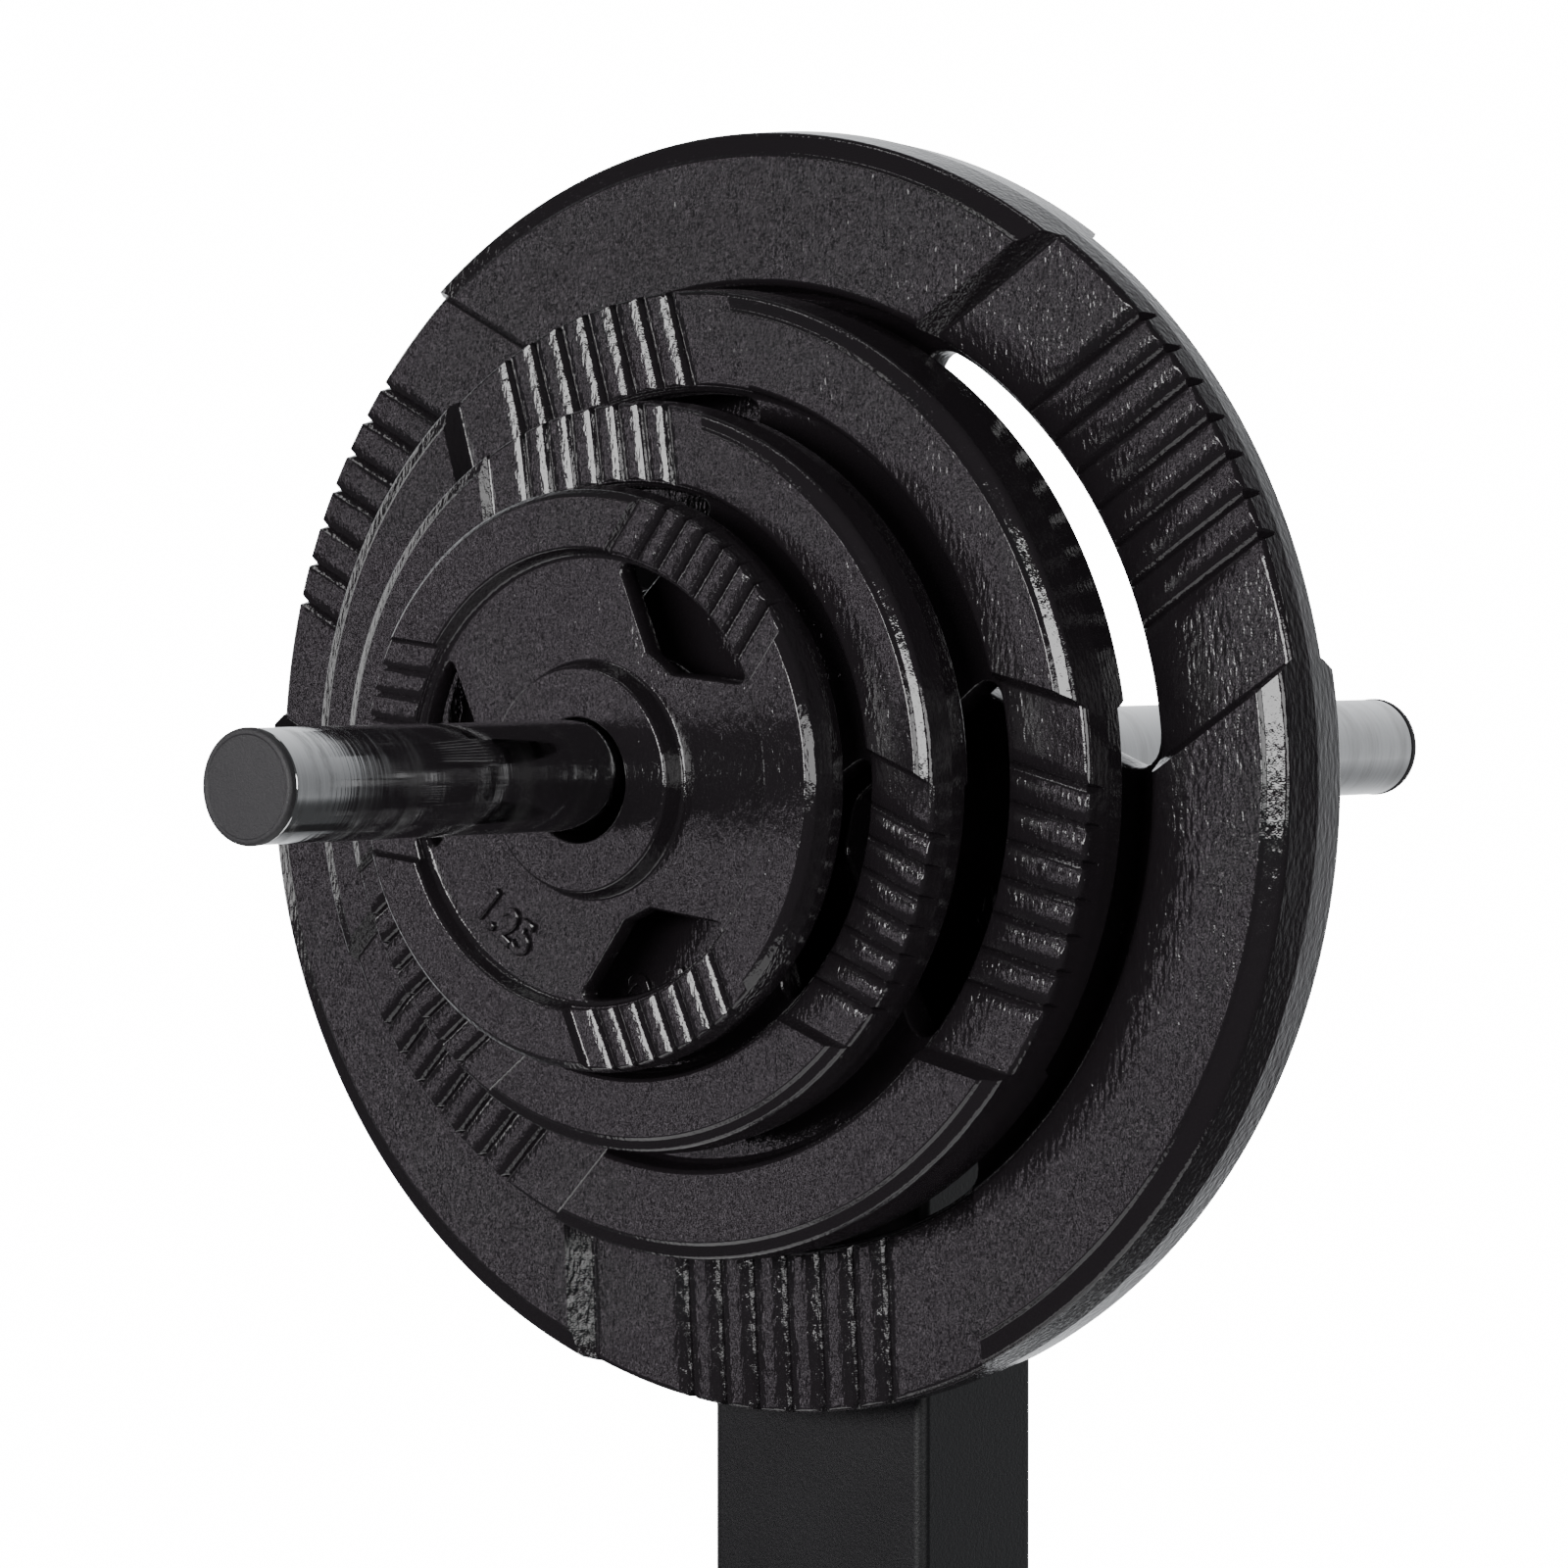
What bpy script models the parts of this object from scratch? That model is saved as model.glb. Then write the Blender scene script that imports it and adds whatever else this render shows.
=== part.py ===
"""Weight plate tree: a square-tube post on an H-shaped base, three chromed through-pegs,
and four cast-iron plates hanging on the front end of the top peg.

Metres, +Z up. The pegs lie along Y and the loaded end points to -Y.
The origin is on the floor, midway between the two foot tubes.
"""
import bmesh
import bpy
from math import atan2, cos, pi, radians, sin
from mathutils import Matrix

# Driving dimensions
GAP = 0.0003                    # seating gap between two pieces that touch
PLATE_SEAT = 0.0005             # what a plate's bore clears the top of its peg by
TUBE_WALL = 0.002
TUBE_CORNER = 0.003             # outer corner radius of the rectangular tubes

BASE_WIDTH = 0.500              # along X, over the foot tubes' end plugs
BASE_DEPTH = 0.560              # along Y, over the foot tubes
FOOT_TUBE = 0.050               # square tube
FOOT_HEIGHT = 0.015             # rubber foot under a foot tube
FOOT_X = 0.215                  # rubber foot from the middle of its tube
FOOT_STEM = 0.005               # radius of the stem pushed into the tube
FOOT_STEM_HEIGHT = 0.008
FOOT_STEM_TIP = 0.002           # height of the stem's tapered end
FOOT_TOP_RADIUS = 0.017
FOOT_RADIUS = 0.020
FOOT_SOLE_RADIUS = 0.018
FOOT_SOLE_EDGE = 0.003          # height of the sole's chamfer

POST_WIDTH = 0.070              # along X
POST_DEPTH = 0.050              # along the pegs
TREE_HEIGHT = 1.060
CAP_FLANGE = 0.004
PLUG_DEPTH = 0.018              # how far a tube's plug goes into it
FOOT_PLATE_LENGTH = 0.200
FOOT_PLATE_THICKNESS = 0.006
END_PLATE_WIDTH = 0.130
END_PLATE_THICKNESS = 0.005
GUSSET_THICKNESS = 0.005
GUSSET_REACH = 0.045
GUSSET_HEIGHT = 0.060
GUSSET_NOSE = 0.008             # width of a rib's blunt ends

PEG_HEIGHTS = {"lower": 0.290, "middle": 0.650, "top": 1.010}
PEG_RADIUS = 0.014
PEG_WALL = 0.002
PEG_REACH = 0.250               # outer face of a peg's cap from the middle of the post
PEG_CAP_FLANGE = 0.0022
PEG_CAP_LIP = 0.0002            # the flange stands past the tube by this
PEG_CAP_CHAMFER = 0.0012
PEG_CAP_STEM = 0.016
PEG_CAP_STEM_TAPER = 0.0008
PEG_STEPS = 32

M10 = {"radius": 0.005, "flats": 0.017, "head": 0.0064, "nut": 0.0084}
M8 = {"radius": 0.004, "flats": 0.013, "head": 0.0053, "nut": 0.0068}
BASE_BOLT_X = 0.020
BASE_BOLT_Y = 0.075
FOOT_BOLT_X = 0.050
BOLT_TAIL = 0.003               # thread that stands past a nut
HEAD_TAPER = 0.93               # chamfered end of a head or nut over its full width
BOLT_STEPS = 12
THROUGH = 2                     # a hole's cutter is this many times as long as the hole

# Cast-iron plates, from the post outwards. Radii and depths in millimetres, as a
# founder's drawing gives them; a depth is measured down from the hub's face.
MM = 0.001
PLATE_BORE = 15.75
HUB_PROUD = 1.2                 # the hub stands proud of the pads, so hubs meet in a stack
WALL_DRAFT = 1.5                # how far the walls of hub and ring lean over their height
RIM_DRAFT = 1.0                 # from the rim's front edge out to its parting line
PAD_STEP = 0.9                  # small step round the outside of a pad
PAD_RAKE = 0.55                 # slope of the pads' end walls, width over depth
RING_MARGIN = 1.0               # a window's outer side from the foot of the ring
CUT_ABOVE = 4.0                 # what a cutter stands above the face it cuts
PLATES = {
    "plate_10kg": {"radius": 167.6, "thickness": 31.5, "web": 10.0, "hub": 42.0, "ring": 127.0,
                   "pad": 160.4, "corner": 3.7, "grip_depth": 7.0, "grip_half_width": 67.5,
                   "groove_pitch": 10.9, "grip_angle": 33.0, "window_spread": 34.0,
                   "window_inner": 62.0, "window_neck": 9.0, "window_fillet": 9.0, "steps": 56},
    "plate_5kg": {"radius": 125.5, "thickness": 28.0, "web": 10.5, "hub": 36.0, "ring": 101.5,
                  "pad": 120.0, "corner": 3.2, "grip_depth": 5.0, "grip_half_width": 50.0,
                  "groove_pitch": 9.4, "grip_angle": 106.5, "window_spread": 31.0,
                  "window_inner": 50.0, "window_neck": 7.0, "window_fillet": 6.0, "steps": 48},
    "plate_2_5kg": {"radius": 96.2, "thickness": 22.0, "web": 8.5, "hub": 32.0, "ring": 76.7,
                    "pad": 91.5, "corner": 3.1, "grip_depth": 2.8, "grip_half_width": 37.0,
                    "groove_pitch": 7.9, "grip_angle": 98.0, "window_spread": 29.0,
                    "window_inner": 43.0, "window_neck": 5.5, "window_fillet": 4.0, "steps": 44},
    "plate_1_25kg": {"radius": 74.4, "thickness": 18.0, "web": 6.5, "hub": 30.0, "ring": 58.5,
                     "pad": 71.5, "corner": 3.4, "grip_depth": 2.0, "grip_half_width": 28.5,
                     "groove_pitch": 6.7, "grip_angle": 293.4, "window_spread": 29.0,
                     "window_inner": 36.0, "window_neck": 4.7, "window_fillet": 3.0, "steps": 40},
}
GRIPS = 3
GROOVES = 7
GROOVE_SHARE = 0.22             # of the pitch that a groove takes at its mouth
GROOVE_DEPTH = 0.13             # of the pitch
ARC_STEPS = 6
CORNER_STEPS = 3

# Values that follow from them
BASE_BOTTOM = FOOT_HEIGHT + GAP
BASE_TOP = BASE_BOTTOM + FOOT_TUBE
BASE_MIDDLE = (BASE_BOTTOM + BASE_TOP) / 2
FOOT_TUBE_Y = (BASE_DEPTH - FOOT_TUBE) / 2
END_PLATE_Y = FOOT_TUBE_Y - FOOT_TUBE / 2 - GAP - END_PLATE_THICKNESS / 2
BEAM_LENGTH = 2 * (END_PLATE_Y - END_PLATE_THICKNESS / 2 - GAP)
FOOT_PLATE_BOTTOM = BASE_TOP + GAP
POST_BOTTOM = FOOT_PLATE_BOTTOM + FOOT_PLATE_THICKNESS + GAP
POST_TOP = TREE_HEIGHT - CAP_FLANGE - GAP
PEG_HALF_LENGTH = PEG_REACH - PEG_CAP_FLANGE

ALONG_X = Matrix.Rotation(radians(90), 4, "Y")
FACING_FRONT = Matrix.Rotation(radians(90), 4, "X")     # local Z turns to -Y
FACING_BACK = Matrix.Rotation(radians(-90), 4, "X")     # local Z turns to +Y


def new_collection(name):
    collection = bpy.data.collections.new(name)
    bpy.context.scene.collection.children.link(collection)
    return collection


def material(name, colour, roughness, metallic=0.0):
    made = bpy.data.materials.new(name)
    made.use_nodes = True
    shader = made.node_tree.nodes["Principled BSDF"]
    shader.inputs["Base Color"].default_value = (*colour, 1.0)
    shader.inputs["Roughness"].default_value = roughness
    shader.inputs["Metallic"].default_value = metallic
    return made


def face_outwards(bm):
    bmesh.ops.recalc_face_normals(bm, faces=bm.faces)
    if bm.calc_volume(signed=True) < 0:
        bmesh.ops.reverse_faces(bm, faces=bm.faces)


def mesh_of(build):
    """A mesh from a function that fills an empty bmesh."""
    bm = bmesh.new()
    build(bm)
    face_outwards(bm)
    mesh = bpy.data.meshes.new("mesh")
    bm.to_mesh(mesh)
    bm.free()
    return mesh


def piece(name, mesh, finish, place=Matrix(), parent=None):
    """A named sub-part of the tree."""
    made = bpy.data.objects.new(name, mesh)
    if not mesh.materials:
        mesh.materials.append(finish)
    made.parent = parent
    made.matrix_local = place
    parts.objects.link(made)
    return made


def cutter(name, mesh, place=Matrix(), parent=None):
    made = bpy.data.objects.new(name, mesh)
    made.parent = parent
    made.matrix_local = place
    made.hide_render = True
    made.display_type = "WIRE"
    cutters.objects.link(made)
    return made


def cut(target, *tools, operation="DIFFERENCE"):
    for tool in tools:
        boolean = target.modifiers.new(tool.name, "BOOLEAN")
        boolean.operation = operation
        boolean.solver = "EXACT"
        boolean.object = tool


def settled_mesh(made):
    """The mesh of an object with its modifiers applied, for copies that share it."""
    bpy.context.view_layer.update()
    depsgraph = bpy.context.evaluated_depsgraph_get()
    return bpy.data.meshes.new_from_object(made.evaluated_get(depsgraph))


def round_bar(radius, length, steps=24):
    """A cylinder along local Z, centred."""
    return mesh_of(lambda bm: bmesh.ops.create_cone(
        bm, cap_ends=True, segments=steps, radius1=radius, radius2=radius, depth=length))


def block(width, depth, height):
    return mesh_of(lambda bm: bmesh.ops.create_cube(
        bm, size=1.0, matrix=Matrix.Diagonal((width, depth, height, 1.0))))


def outline_mesh(points, thickness):
    """A flat closed outline in local XY, given a thickness about its own plane."""
    curve = bpy.data.curves.new("outline", "CURVE")
    curve.dimensions = "2D"
    curve.fill_mode = "BOTH"
    curve.extrude = thickness / 2
    spline = curve.splines.new("POLY")
    spline.points.add(len(points) - 1)
    for point, (x, y) in zip(spline.points, points):
        point.co = (x, y, 0.0, 1.0)
    spline.use_cyclic_u = True
    flat = bpy.data.objects.new("outline", curve)
    bpy.context.scene.collection.objects.link(flat)
    mesh = settled_mesh(flat)
    bpy.data.objects.remove(flat)
    bm = bmesh.new()
    bm.from_mesh(mesh)
    bmesh.ops.remove_doubles(bm, verts=bm.verts, dist=0.00001)
    face_outwards(bm)
    bm.to_mesh(mesh)
    bm.free()
    return mesh


def joined(meshes_and_places):
    """Several closed meshes in one, for a cutter that works in many places at once."""
    bm = bmesh.new()
    for mesh, place in meshes_and_places:
        copy = mesh.copy()
        copy.transform(place)
        bm.from_mesh(copy)
        bpy.data.meshes.remove(copy)
    mesh = bpy.data.meshes.new("mesh")
    bm.to_mesh(mesh)
    bm.free()
    return mesh


def turned(name, profile, steps, finish, place, parent=None):
    """A turned piece: a profile in local XZ, swept about Z by a Screw modifier."""
    mesh = bpy.data.meshes.new(name)
    count = len(profile)
    touches_axis = profile[0][0] == 0
    edges = [(i, i + 1) for i in range(count - 1)]
    if not touches_axis:
        edges.append((count - 1, 0))
    mesh.from_pydata([(radius, 0.0, height) for radius, height in profile], edges, [])
    made = piece(name, mesh, finish, place, parent)
    screw = made.modifiers.new("turning", "SCREW")
    screw.axis = "Z"
    screw.steps = steps
    screw.render_steps = steps
    screw.use_merge_vertices = True
    screw.merge_threshold = 0.00001
    screw.use_smooth_shade = True
    return made


def rectangular_tube(name, width, depth, length, finish, place=Matrix(), parent=None):
    """A welded steel tube along local Z: an open shell, its corners rounded, given a wall."""
    def shell(bm):
        bmesh.ops.create_cube(bm, size=1.0, matrix=Matrix.Diagonal((width, depth, length, 1.0)))
        ends = [face for face in bm.faces if abs(face.normal.z) > 0.9]
        bmesh.ops.delete(bm, geom=ends, context="FACES_ONLY")

    made = piece(name, mesh_of(shell), finish, place, parent)
    corners = made.modifiers.new("corners", "BEVEL")
    corners.width = TUBE_CORNER
    corners.segments = 2
    corners.limit_method = "ANGLE"
    wall = made.modifiers.new("wall", "SOLIDIFY")
    wall.thickness = TUBE_WALL
    wall.offset = -1.0
    wall.use_even_offset = True
    return made


def tube_plug_mesh(width, depth, flange):
    """A moulded plug: a flange over the tube's end, drawn in to a spigot inside the wall."""
    def shape(bm):
        bmesh.ops.create_cube(bm, size=1.0, matrix=Matrix.Diagonal((width, depth, flange, 1.0)))
        under = [face for face in bm.faces if face.normal.z < -0.9]
        bmesh.ops.inset_region(bm, faces=under, thickness=TUBE_WALL + 2 * GAP,
                               use_even_offset=True)
        spigot = bmesh.ops.extrude_face_region(bm, geom=under)
        lower = [v for v in spigot["geom"] if isinstance(v, bmesh.types.BMVert)]
        bmesh.ops.delete(bm, geom=under, context="FACES_ONLY")
        bmesh.ops.translate(bm, verts=lower, vec=(0.0, 0.0, -PLUG_DEPTH))
        crown = [edge for edge in bm.edges if all(v.co.z > 0 for v in edge.verts)]
        uprights = [edge for edge in bm.edges
                    if edge.verts[0].co.z * edge.verts[1].co.z < 0]
        bmesh.ops.bevel(bm, geom=crown + uprights, offset=TUBE_CORNER / 2, segments=2,
                        affect="EDGES", profile=0.5)
    return mesh_of(shape)


def hex_radius(flats):
    return flats / 2 / cos(radians(30))


def bolt_mesh(thread, length):
    """A hex bolt: the head's underside at local Z = 0, the shank running down from it."""
    head = piece("bolt_head", mesh_of(lambda bm: bmesh.ops.create_cone(
        bm, cap_ends=True, segments=6, radius1=hex_radius(thread["flats"]),
        radius2=hex_radius(thread["flats"]) * HEAD_TAPER, depth=thread["head"],
        matrix=Matrix.Translation((0, 0, thread["head"] / 2)))), zinc)
    half_head = thread["head"] / 2
    shank = cutter("shank", round_bar(thread["radius"], length + half_head, steps=BOLT_STEPS),
                   Matrix.Translation((0, 0, (half_head - length) / 2)))
    cut(head, shank, operation="UNION")
    mesh = settled_mesh(head)
    bpy.data.objects.remove(head)
    bpy.data.objects.remove(shank)
    return mesh


def nut_mesh(thread):
    """A hex nut, bored to clear its bolt, standing up from local Z = 0."""
    rise = Matrix.Translation((0, 0, thread["nut"] / 2))
    body = piece("nut_body", mesh_of(lambda bm: bmesh.ops.create_cone(
        bm, cap_ends=True, segments=6, radius1=hex_radius(thread["flats"]),
        radius2=hex_radius(thread["flats"]) * HEAD_TAPER, depth=thread["nut"], matrix=rise)), zinc)
    bore = cutter("nut_bore", round_bar(thread["radius"] + GAP, THROUGH * thread["nut"], steps=BOLT_STEPS), rise)
    cut(body, bore)
    mesh = settled_mesh(body)
    bpy.data.objects.remove(body)
    bpy.data.objects.remove(bore)
    return mesh


def base():
    """Two foot tubes across, a beam between them, and what bolts and stands them."""
    beam = rectangular_tube("base_beam", POST_WIDTH, FOOT_TUBE, BEAM_LENGTH, powder_coat,
                            Matrix.Translation((0, 0, BASE_MIDDLE)) @ FACING_FRONT)
    cut(beam, cutter("beam_bolt_holes", joined(
        (round_bar(M10["radius"] + GAP, THROUGH * FOOT_TUBE, steps=BOLT_STEPS),
         Matrix.Translation((sx * BASE_BOLT_X, sy * BASE_BOLT_Y, BASE_MIDDLE)))
        for sx in (-1, 1) for sy in (-1, 1))))

    plug = tube_plug_mesh(FOOT_TUBE, FOOT_TUBE, CAP_FLANGE)
    bolt = bolt_mesh(M10, FOOT_TUBE + END_PLATE_THICKNESS + M10["nut"] + BOLT_TAIL + 3 * GAP)
    nut = nut_mesh(M10)
    stem_top = FOOT_HEIGHT + FOOT_STEM_HEIGHT
    for side, sy in (("front", -1), ("rear", 1)):
        outwards = FACING_FRONT if sy < 0 else FACING_BACK
        inwards = FACING_BACK if sy < 0 else FACING_FRONT
        tube_y = sy * FOOT_TUBE_Y
        bolt_holes = cutter("foot_bolt_holes_" + side, joined(
            (round_bar(M10["radius"] + GAP, THROUGH * FOOT_TUBE, steps=BOLT_STEPS),
             Matrix.Translation((sx * FOOT_BOLT_X, tube_y, BASE_MIDDLE)) @ FACING_FRONT)
            for sx in (-1, 1)))
        stem_holes = cutter("stem_holes_" + side, joined(
            (round_bar(FOOT_STEM + GAP, THROUGH * TUBE_WALL + GAP, steps=BOLT_STEPS),
             Matrix.Translation((sx * FOOT_X, tube_y, BASE_BOTTOM))) for sx in (-1, 1)))
        tube = rectangular_tube(
            "foot_tube_" + side, FOOT_TUBE, FOOT_TUBE, BASE_WIDTH - 2 * (CAP_FLANGE + GAP),
            powder_coat, Matrix.Translation((0, tube_y, BASE_MIDDLE)) @ ALONG_X)
        cut(tube, bolt_holes, stem_holes)
        end_plate = piece(
            "beam_end_plate_" + side, block(END_PLATE_WIDTH, END_PLATE_THICKNESS, FOOT_TUBE),
            powder_coat, Matrix.Translation((0, sy * END_PLATE_Y, BASE_MIDDLE)))
        cut(end_plate, bolt_holes)

        for hand, sx in (("left", -1), ("right", 1)):
            where = side + "_" + hand
            end = BASE_WIDTH / 2 - CAP_FLANGE / 2
            turn = Matrix.Rotation(radians(90 * sx), 4, "Y")
            piece("foot_tube_plug_" + where, plug, black_plastic,
                  Matrix.Translation((sx * end, tube_y, BASE_MIDDLE)) @ turn)
            turned("rubber_foot_" + where, (
                (0.0, stem_top), (FOOT_STEM - FOOT_STEM_TIP / 2, stem_top),
                (FOOT_STEM, stem_top - FOOT_STEM_TIP), (FOOT_STEM, FOOT_HEIGHT),
                (FOOT_TOP_RADIUS, FOOT_HEIGHT), (FOOT_RADIUS, FOOT_SOLE_EDGE),
                (FOOT_SOLE_RADIUS, 0.0), (0.0, 0.0)),
                16, rubber, Matrix.Translation((sx * FOOT_X, tube_y, 0.0)))
            piece("foot_bolt_" + where, bolt, zinc, Matrix.Translation(
                (sx * FOOT_BOLT_X, sy * (BASE_DEPTH / 2 + GAP), BASE_MIDDLE)) @ outwards)
            nut_y = sy * (END_PLATE_Y - END_PLATE_THICKNESS / 2 - GAP)
            piece("foot_nut_" + where, nut, zinc, Matrix.Translation(
                (sx * FOOT_BOLT_X, nut_y, BASE_MIDDLE)) @ inwards)


def post_and_its_foot():
    """The upright, its cap, and the plate, ribs and bolts that stand it on the beam."""
    upright = rectangular_tube("post", POST_WIDTH, POST_DEPTH, POST_TOP - POST_BOTTOM, powder_coat,
                               Matrix.Translation((0, 0, (POST_TOP + POST_BOTTOM) / 2)))
    cut(upright,
        cutter("peg_holes", joined(
            (round_bar(PEG_RADIUS + GAP, THROUGH * POST_DEPTH, steps=PEG_STEPS),
             Matrix.Translation((0, 0, height)) @ FACING_FRONT)
            for height in PEG_HEIGHTS.values())),
        cutter("lock_holes", joined(
            (round_bar(M8["radius"] + GAP, THROUGH * POST_WIDTH, steps=BOLT_STEPS),
             Matrix.Translation((0, 0, height)) @ ALONG_X)
            for height in PEG_HEIGHTS.values())))
    piece("post_top_cap", tube_plug_mesh(POST_WIDTH, POST_DEPTH, CAP_FLANGE), black_plastic,
          Matrix.Translation((0, 0, TREE_HEIGHT - CAP_FLANGE / 2)))

    plate_middle = FOOT_PLATE_BOTTOM + FOOT_PLATE_THICKNESS / 2
    foot_plate = piece("post_foot_plate",
                       block(POST_WIDTH, FOOT_PLATE_LENGTH, FOOT_PLATE_THICKNESS),
                       powder_coat, Matrix.Translation((0, 0, plate_middle)))
    cut(foot_plate, bpy.data.objects["beam_bolt_holes"])

    rib = outline_mesh(((0, 0), (GUSSET_REACH, 0), (GUSSET_REACH, GUSSET_NOSE),
                        (GUSSET_NOSE, GUSSET_HEIGHT), (0, GUSSET_HEIGHT)), GUSSET_THICKNESS)
    for side, sy in (("front", -1), ("rear", 1)):
        stand = Matrix.Rotation(radians(90 * sy), 4, "Z") @ Matrix.Rotation(radians(90), 4, "X")
        piece("post_gusset_" + side, rib, powder_coat,
              Matrix.Translation((0, sy * (POST_DEPTH / 2 + GAP), POST_BOTTOM)) @ stand)

    bolt = bolt_mesh(M10, FOOT_PLATE_THICKNESS + FOOT_TUBE + M10["nut"] + BOLT_TAIL + 3 * GAP)
    nut = nut_mesh(M10)
    upside_down = Matrix.Rotation(pi, 4, "X")
    for side, sy in (("front", -1), ("rear", 1)):
        for hand, sx in (("left", -1), ("right", 1)):
            where = side + "_" + hand
            x, y = sx * BASE_BOLT_X, sy * BASE_BOLT_Y
            piece("base_bolt_" + where, bolt, zinc, Matrix.Translation((x, y, POST_BOTTOM)))
            piece("base_nut_" + where, nut, zinc,
                  Matrix.Translation((x, y, BASE_BOTTOM - GAP)) @ upside_down)


def pegs():
    """Three chromed tubes through the post, each plugged at both ends and bolted across."""
    bolt = bolt_mesh(M8, POST_WIDTH + M8["nut"] + BOLT_TAIL + 2 * GAP)
    nut = nut_mesh(M8)
    seat = POST_WIDTH / 2 + GAP
    for level, height in PEG_HEIGHTS.items():
        axis = bpy.data.objects.new("peg_axis_" + level, None)
        axis.location = (0, 0, height)
        parts.objects.link(axis)
        inner, half = PEG_RADIUS - PEG_WALL, PEG_HALF_LENGTH - GAP
        tube = turned("peg_" + level,
                      ((inner, half), (PEG_RADIUS, half), (PEG_RADIUS, -half), (inner, -half)),
                      PEG_STEPS, chrome, FACING_FRONT, axis)
        cut(tube, cutter("peg_lock_hole_" + level,
                         round_bar(M8["radius"] + GAP, 2 * THROUGH * PEG_RADIUS, steps=BOLT_STEPS), ALONG_X, axis))
        stem = inner - GAP
        lip = PEG_RADIUS + PEG_CAP_LIP
        cap = ((0.0, PEG_CAP_FLANGE), (lip - PEG_CAP_CHAMFER, PEG_CAP_FLANGE),
               (lip, PEG_CAP_FLANGE - PEG_CAP_CHAMFER), (lip, 0.0),
               (stem, 0.0), (stem - PEG_CAP_STEM_TAPER, -PEG_CAP_STEM), (0.0, -PEG_CAP_STEM))
        turned("peg_cap_front_" + level, cap, 24, black_plastic,
               Matrix.Translation((0, -PEG_HALF_LENGTH, 0)) @ FACING_FRONT, axis)
        turned("peg_cap_rear_" + level, cap, 24, black_plastic,
               Matrix.Translation((0, PEG_HALF_LENGTH, 0)) @ FACING_BACK, axis)
        piece("peg_lock_bolt_" + level, bolt, zinc,
              Matrix.Translation((seat, 0, 0)) @ ALONG_X, axis)
        piece("peg_lock_nut_" + level, nut, zinc,
              Matrix.Translation((-seat, 0, 0)) @ Matrix.Rotation(radians(-90), 4, "Y"), axis)


def plate_profile(plate):
    """Half section of a plate, front up: hub, web, ring wall, pad, step and drafted rim."""
    half = plate["thickness"] / 2
    web = plate["web"] / 2
    pad_top = half - HUB_PROUD
    front = [(PLATE_BORE, half), (plate["hub"] - WALL_DRAFT, half), (plate["hub"], web),
             (plate["ring"] - WALL_DRAFT, web), (plate["ring"], pad_top), (plate["pad"], pad_top),
             (plate["pad"] + PAD_STEP, pad_top - PAD_STEP),
             (plate["radius"] - RIM_DRAFT, half - plate["corner"])]
    parting = [(plate["radius"], 0.0)]
    back = [(radius, -height) for radius, height in reversed(front)]
    back.pop(1)                 # the back has no step round its pads
    return [(radius * MM, height * MM) for radius, height in front + parting + back]


def arc(radius, start, end, steps):
    for i in range(steps + 1):
        angle = start + (end - start) * i / steps
        yield radius * cos(angle), radius * sin(angle)


def rounded(points, radius, steps=CORNER_STEPS):
    """The closed outline with each of its sharp corners turned into an arc of that radius."""
    count = len(points)
    for i, (x, y) in enumerate(points):
        (ax, ay), (bx, by) = points[i - 1], points[(i + 1) % count]
        to_a, to_b = atan2(ay - y, ax - x), atan2(by - y, bx - x)
        opening = (to_b - to_a + pi) % (2 * pi) - pi
        if abs(opening) > radians(150):
            yield x, y
            continue
        reach = radius / abs(sin(opening / 2))
        middle = to_a + opening / 2
        centre_x, centre_y = x + reach * cos(middle), y + reach * sin(middle)
        sweep = (pi - abs(opening)) / 2
        turn = 1 if opening > 0 else -1
        for k in range(steps + 1):
            angle = middle + pi + turn * sweep * (1 - 2 * k / steps)
            yield centre_x + radius * cos(angle), centre_y + radius * sin(angle)


def window_outline(plate):
    """A finger window about local +X: an outer arc, two raked sides and a short inner end."""
    outer = plate["ring"] - RING_MARGIN
    spread = radians(plate["window_spread"])
    inner, neck = plate["window_inner"], plate["window_neck"]
    outline = list(arc(outer, -spread, spread, ARC_STEPS)) + [(inner, neck), (inner, -neck)]
    return [(x * MM, y * MM) for x, y in rounded(outline, plate["window_fillet"])]


def grip_section(plate):
    """Section across a grip zone's recess, with the raked end walls of the pads."""
    top, floor = plate["grip_half_width"], plate["grip_depth"]
    bottom = top - PAD_RAKE * floor
    flare = top + PAD_RAKE * CUT_ABOVE
    return [(x * MM, y * MM) for x, y in
            ((-bottom, -floor), (bottom, -floor), (flare, CUT_ABOVE), (-flare, CUT_ABOVE))]


def groove_section(plate):
    """A narrow V, its sides carried on above the face that it is cut in."""
    depth = plate["groove_pitch"] * GROOVE_DEPTH
    above = depth
    flare = plate["groove_pitch"] * GROOVE_SHARE / 2 * (depth + above) / depth
    return [(x * MM, y * MM) for x, y in ((0, -depth), (flare, above), (-flare, above))]


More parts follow.
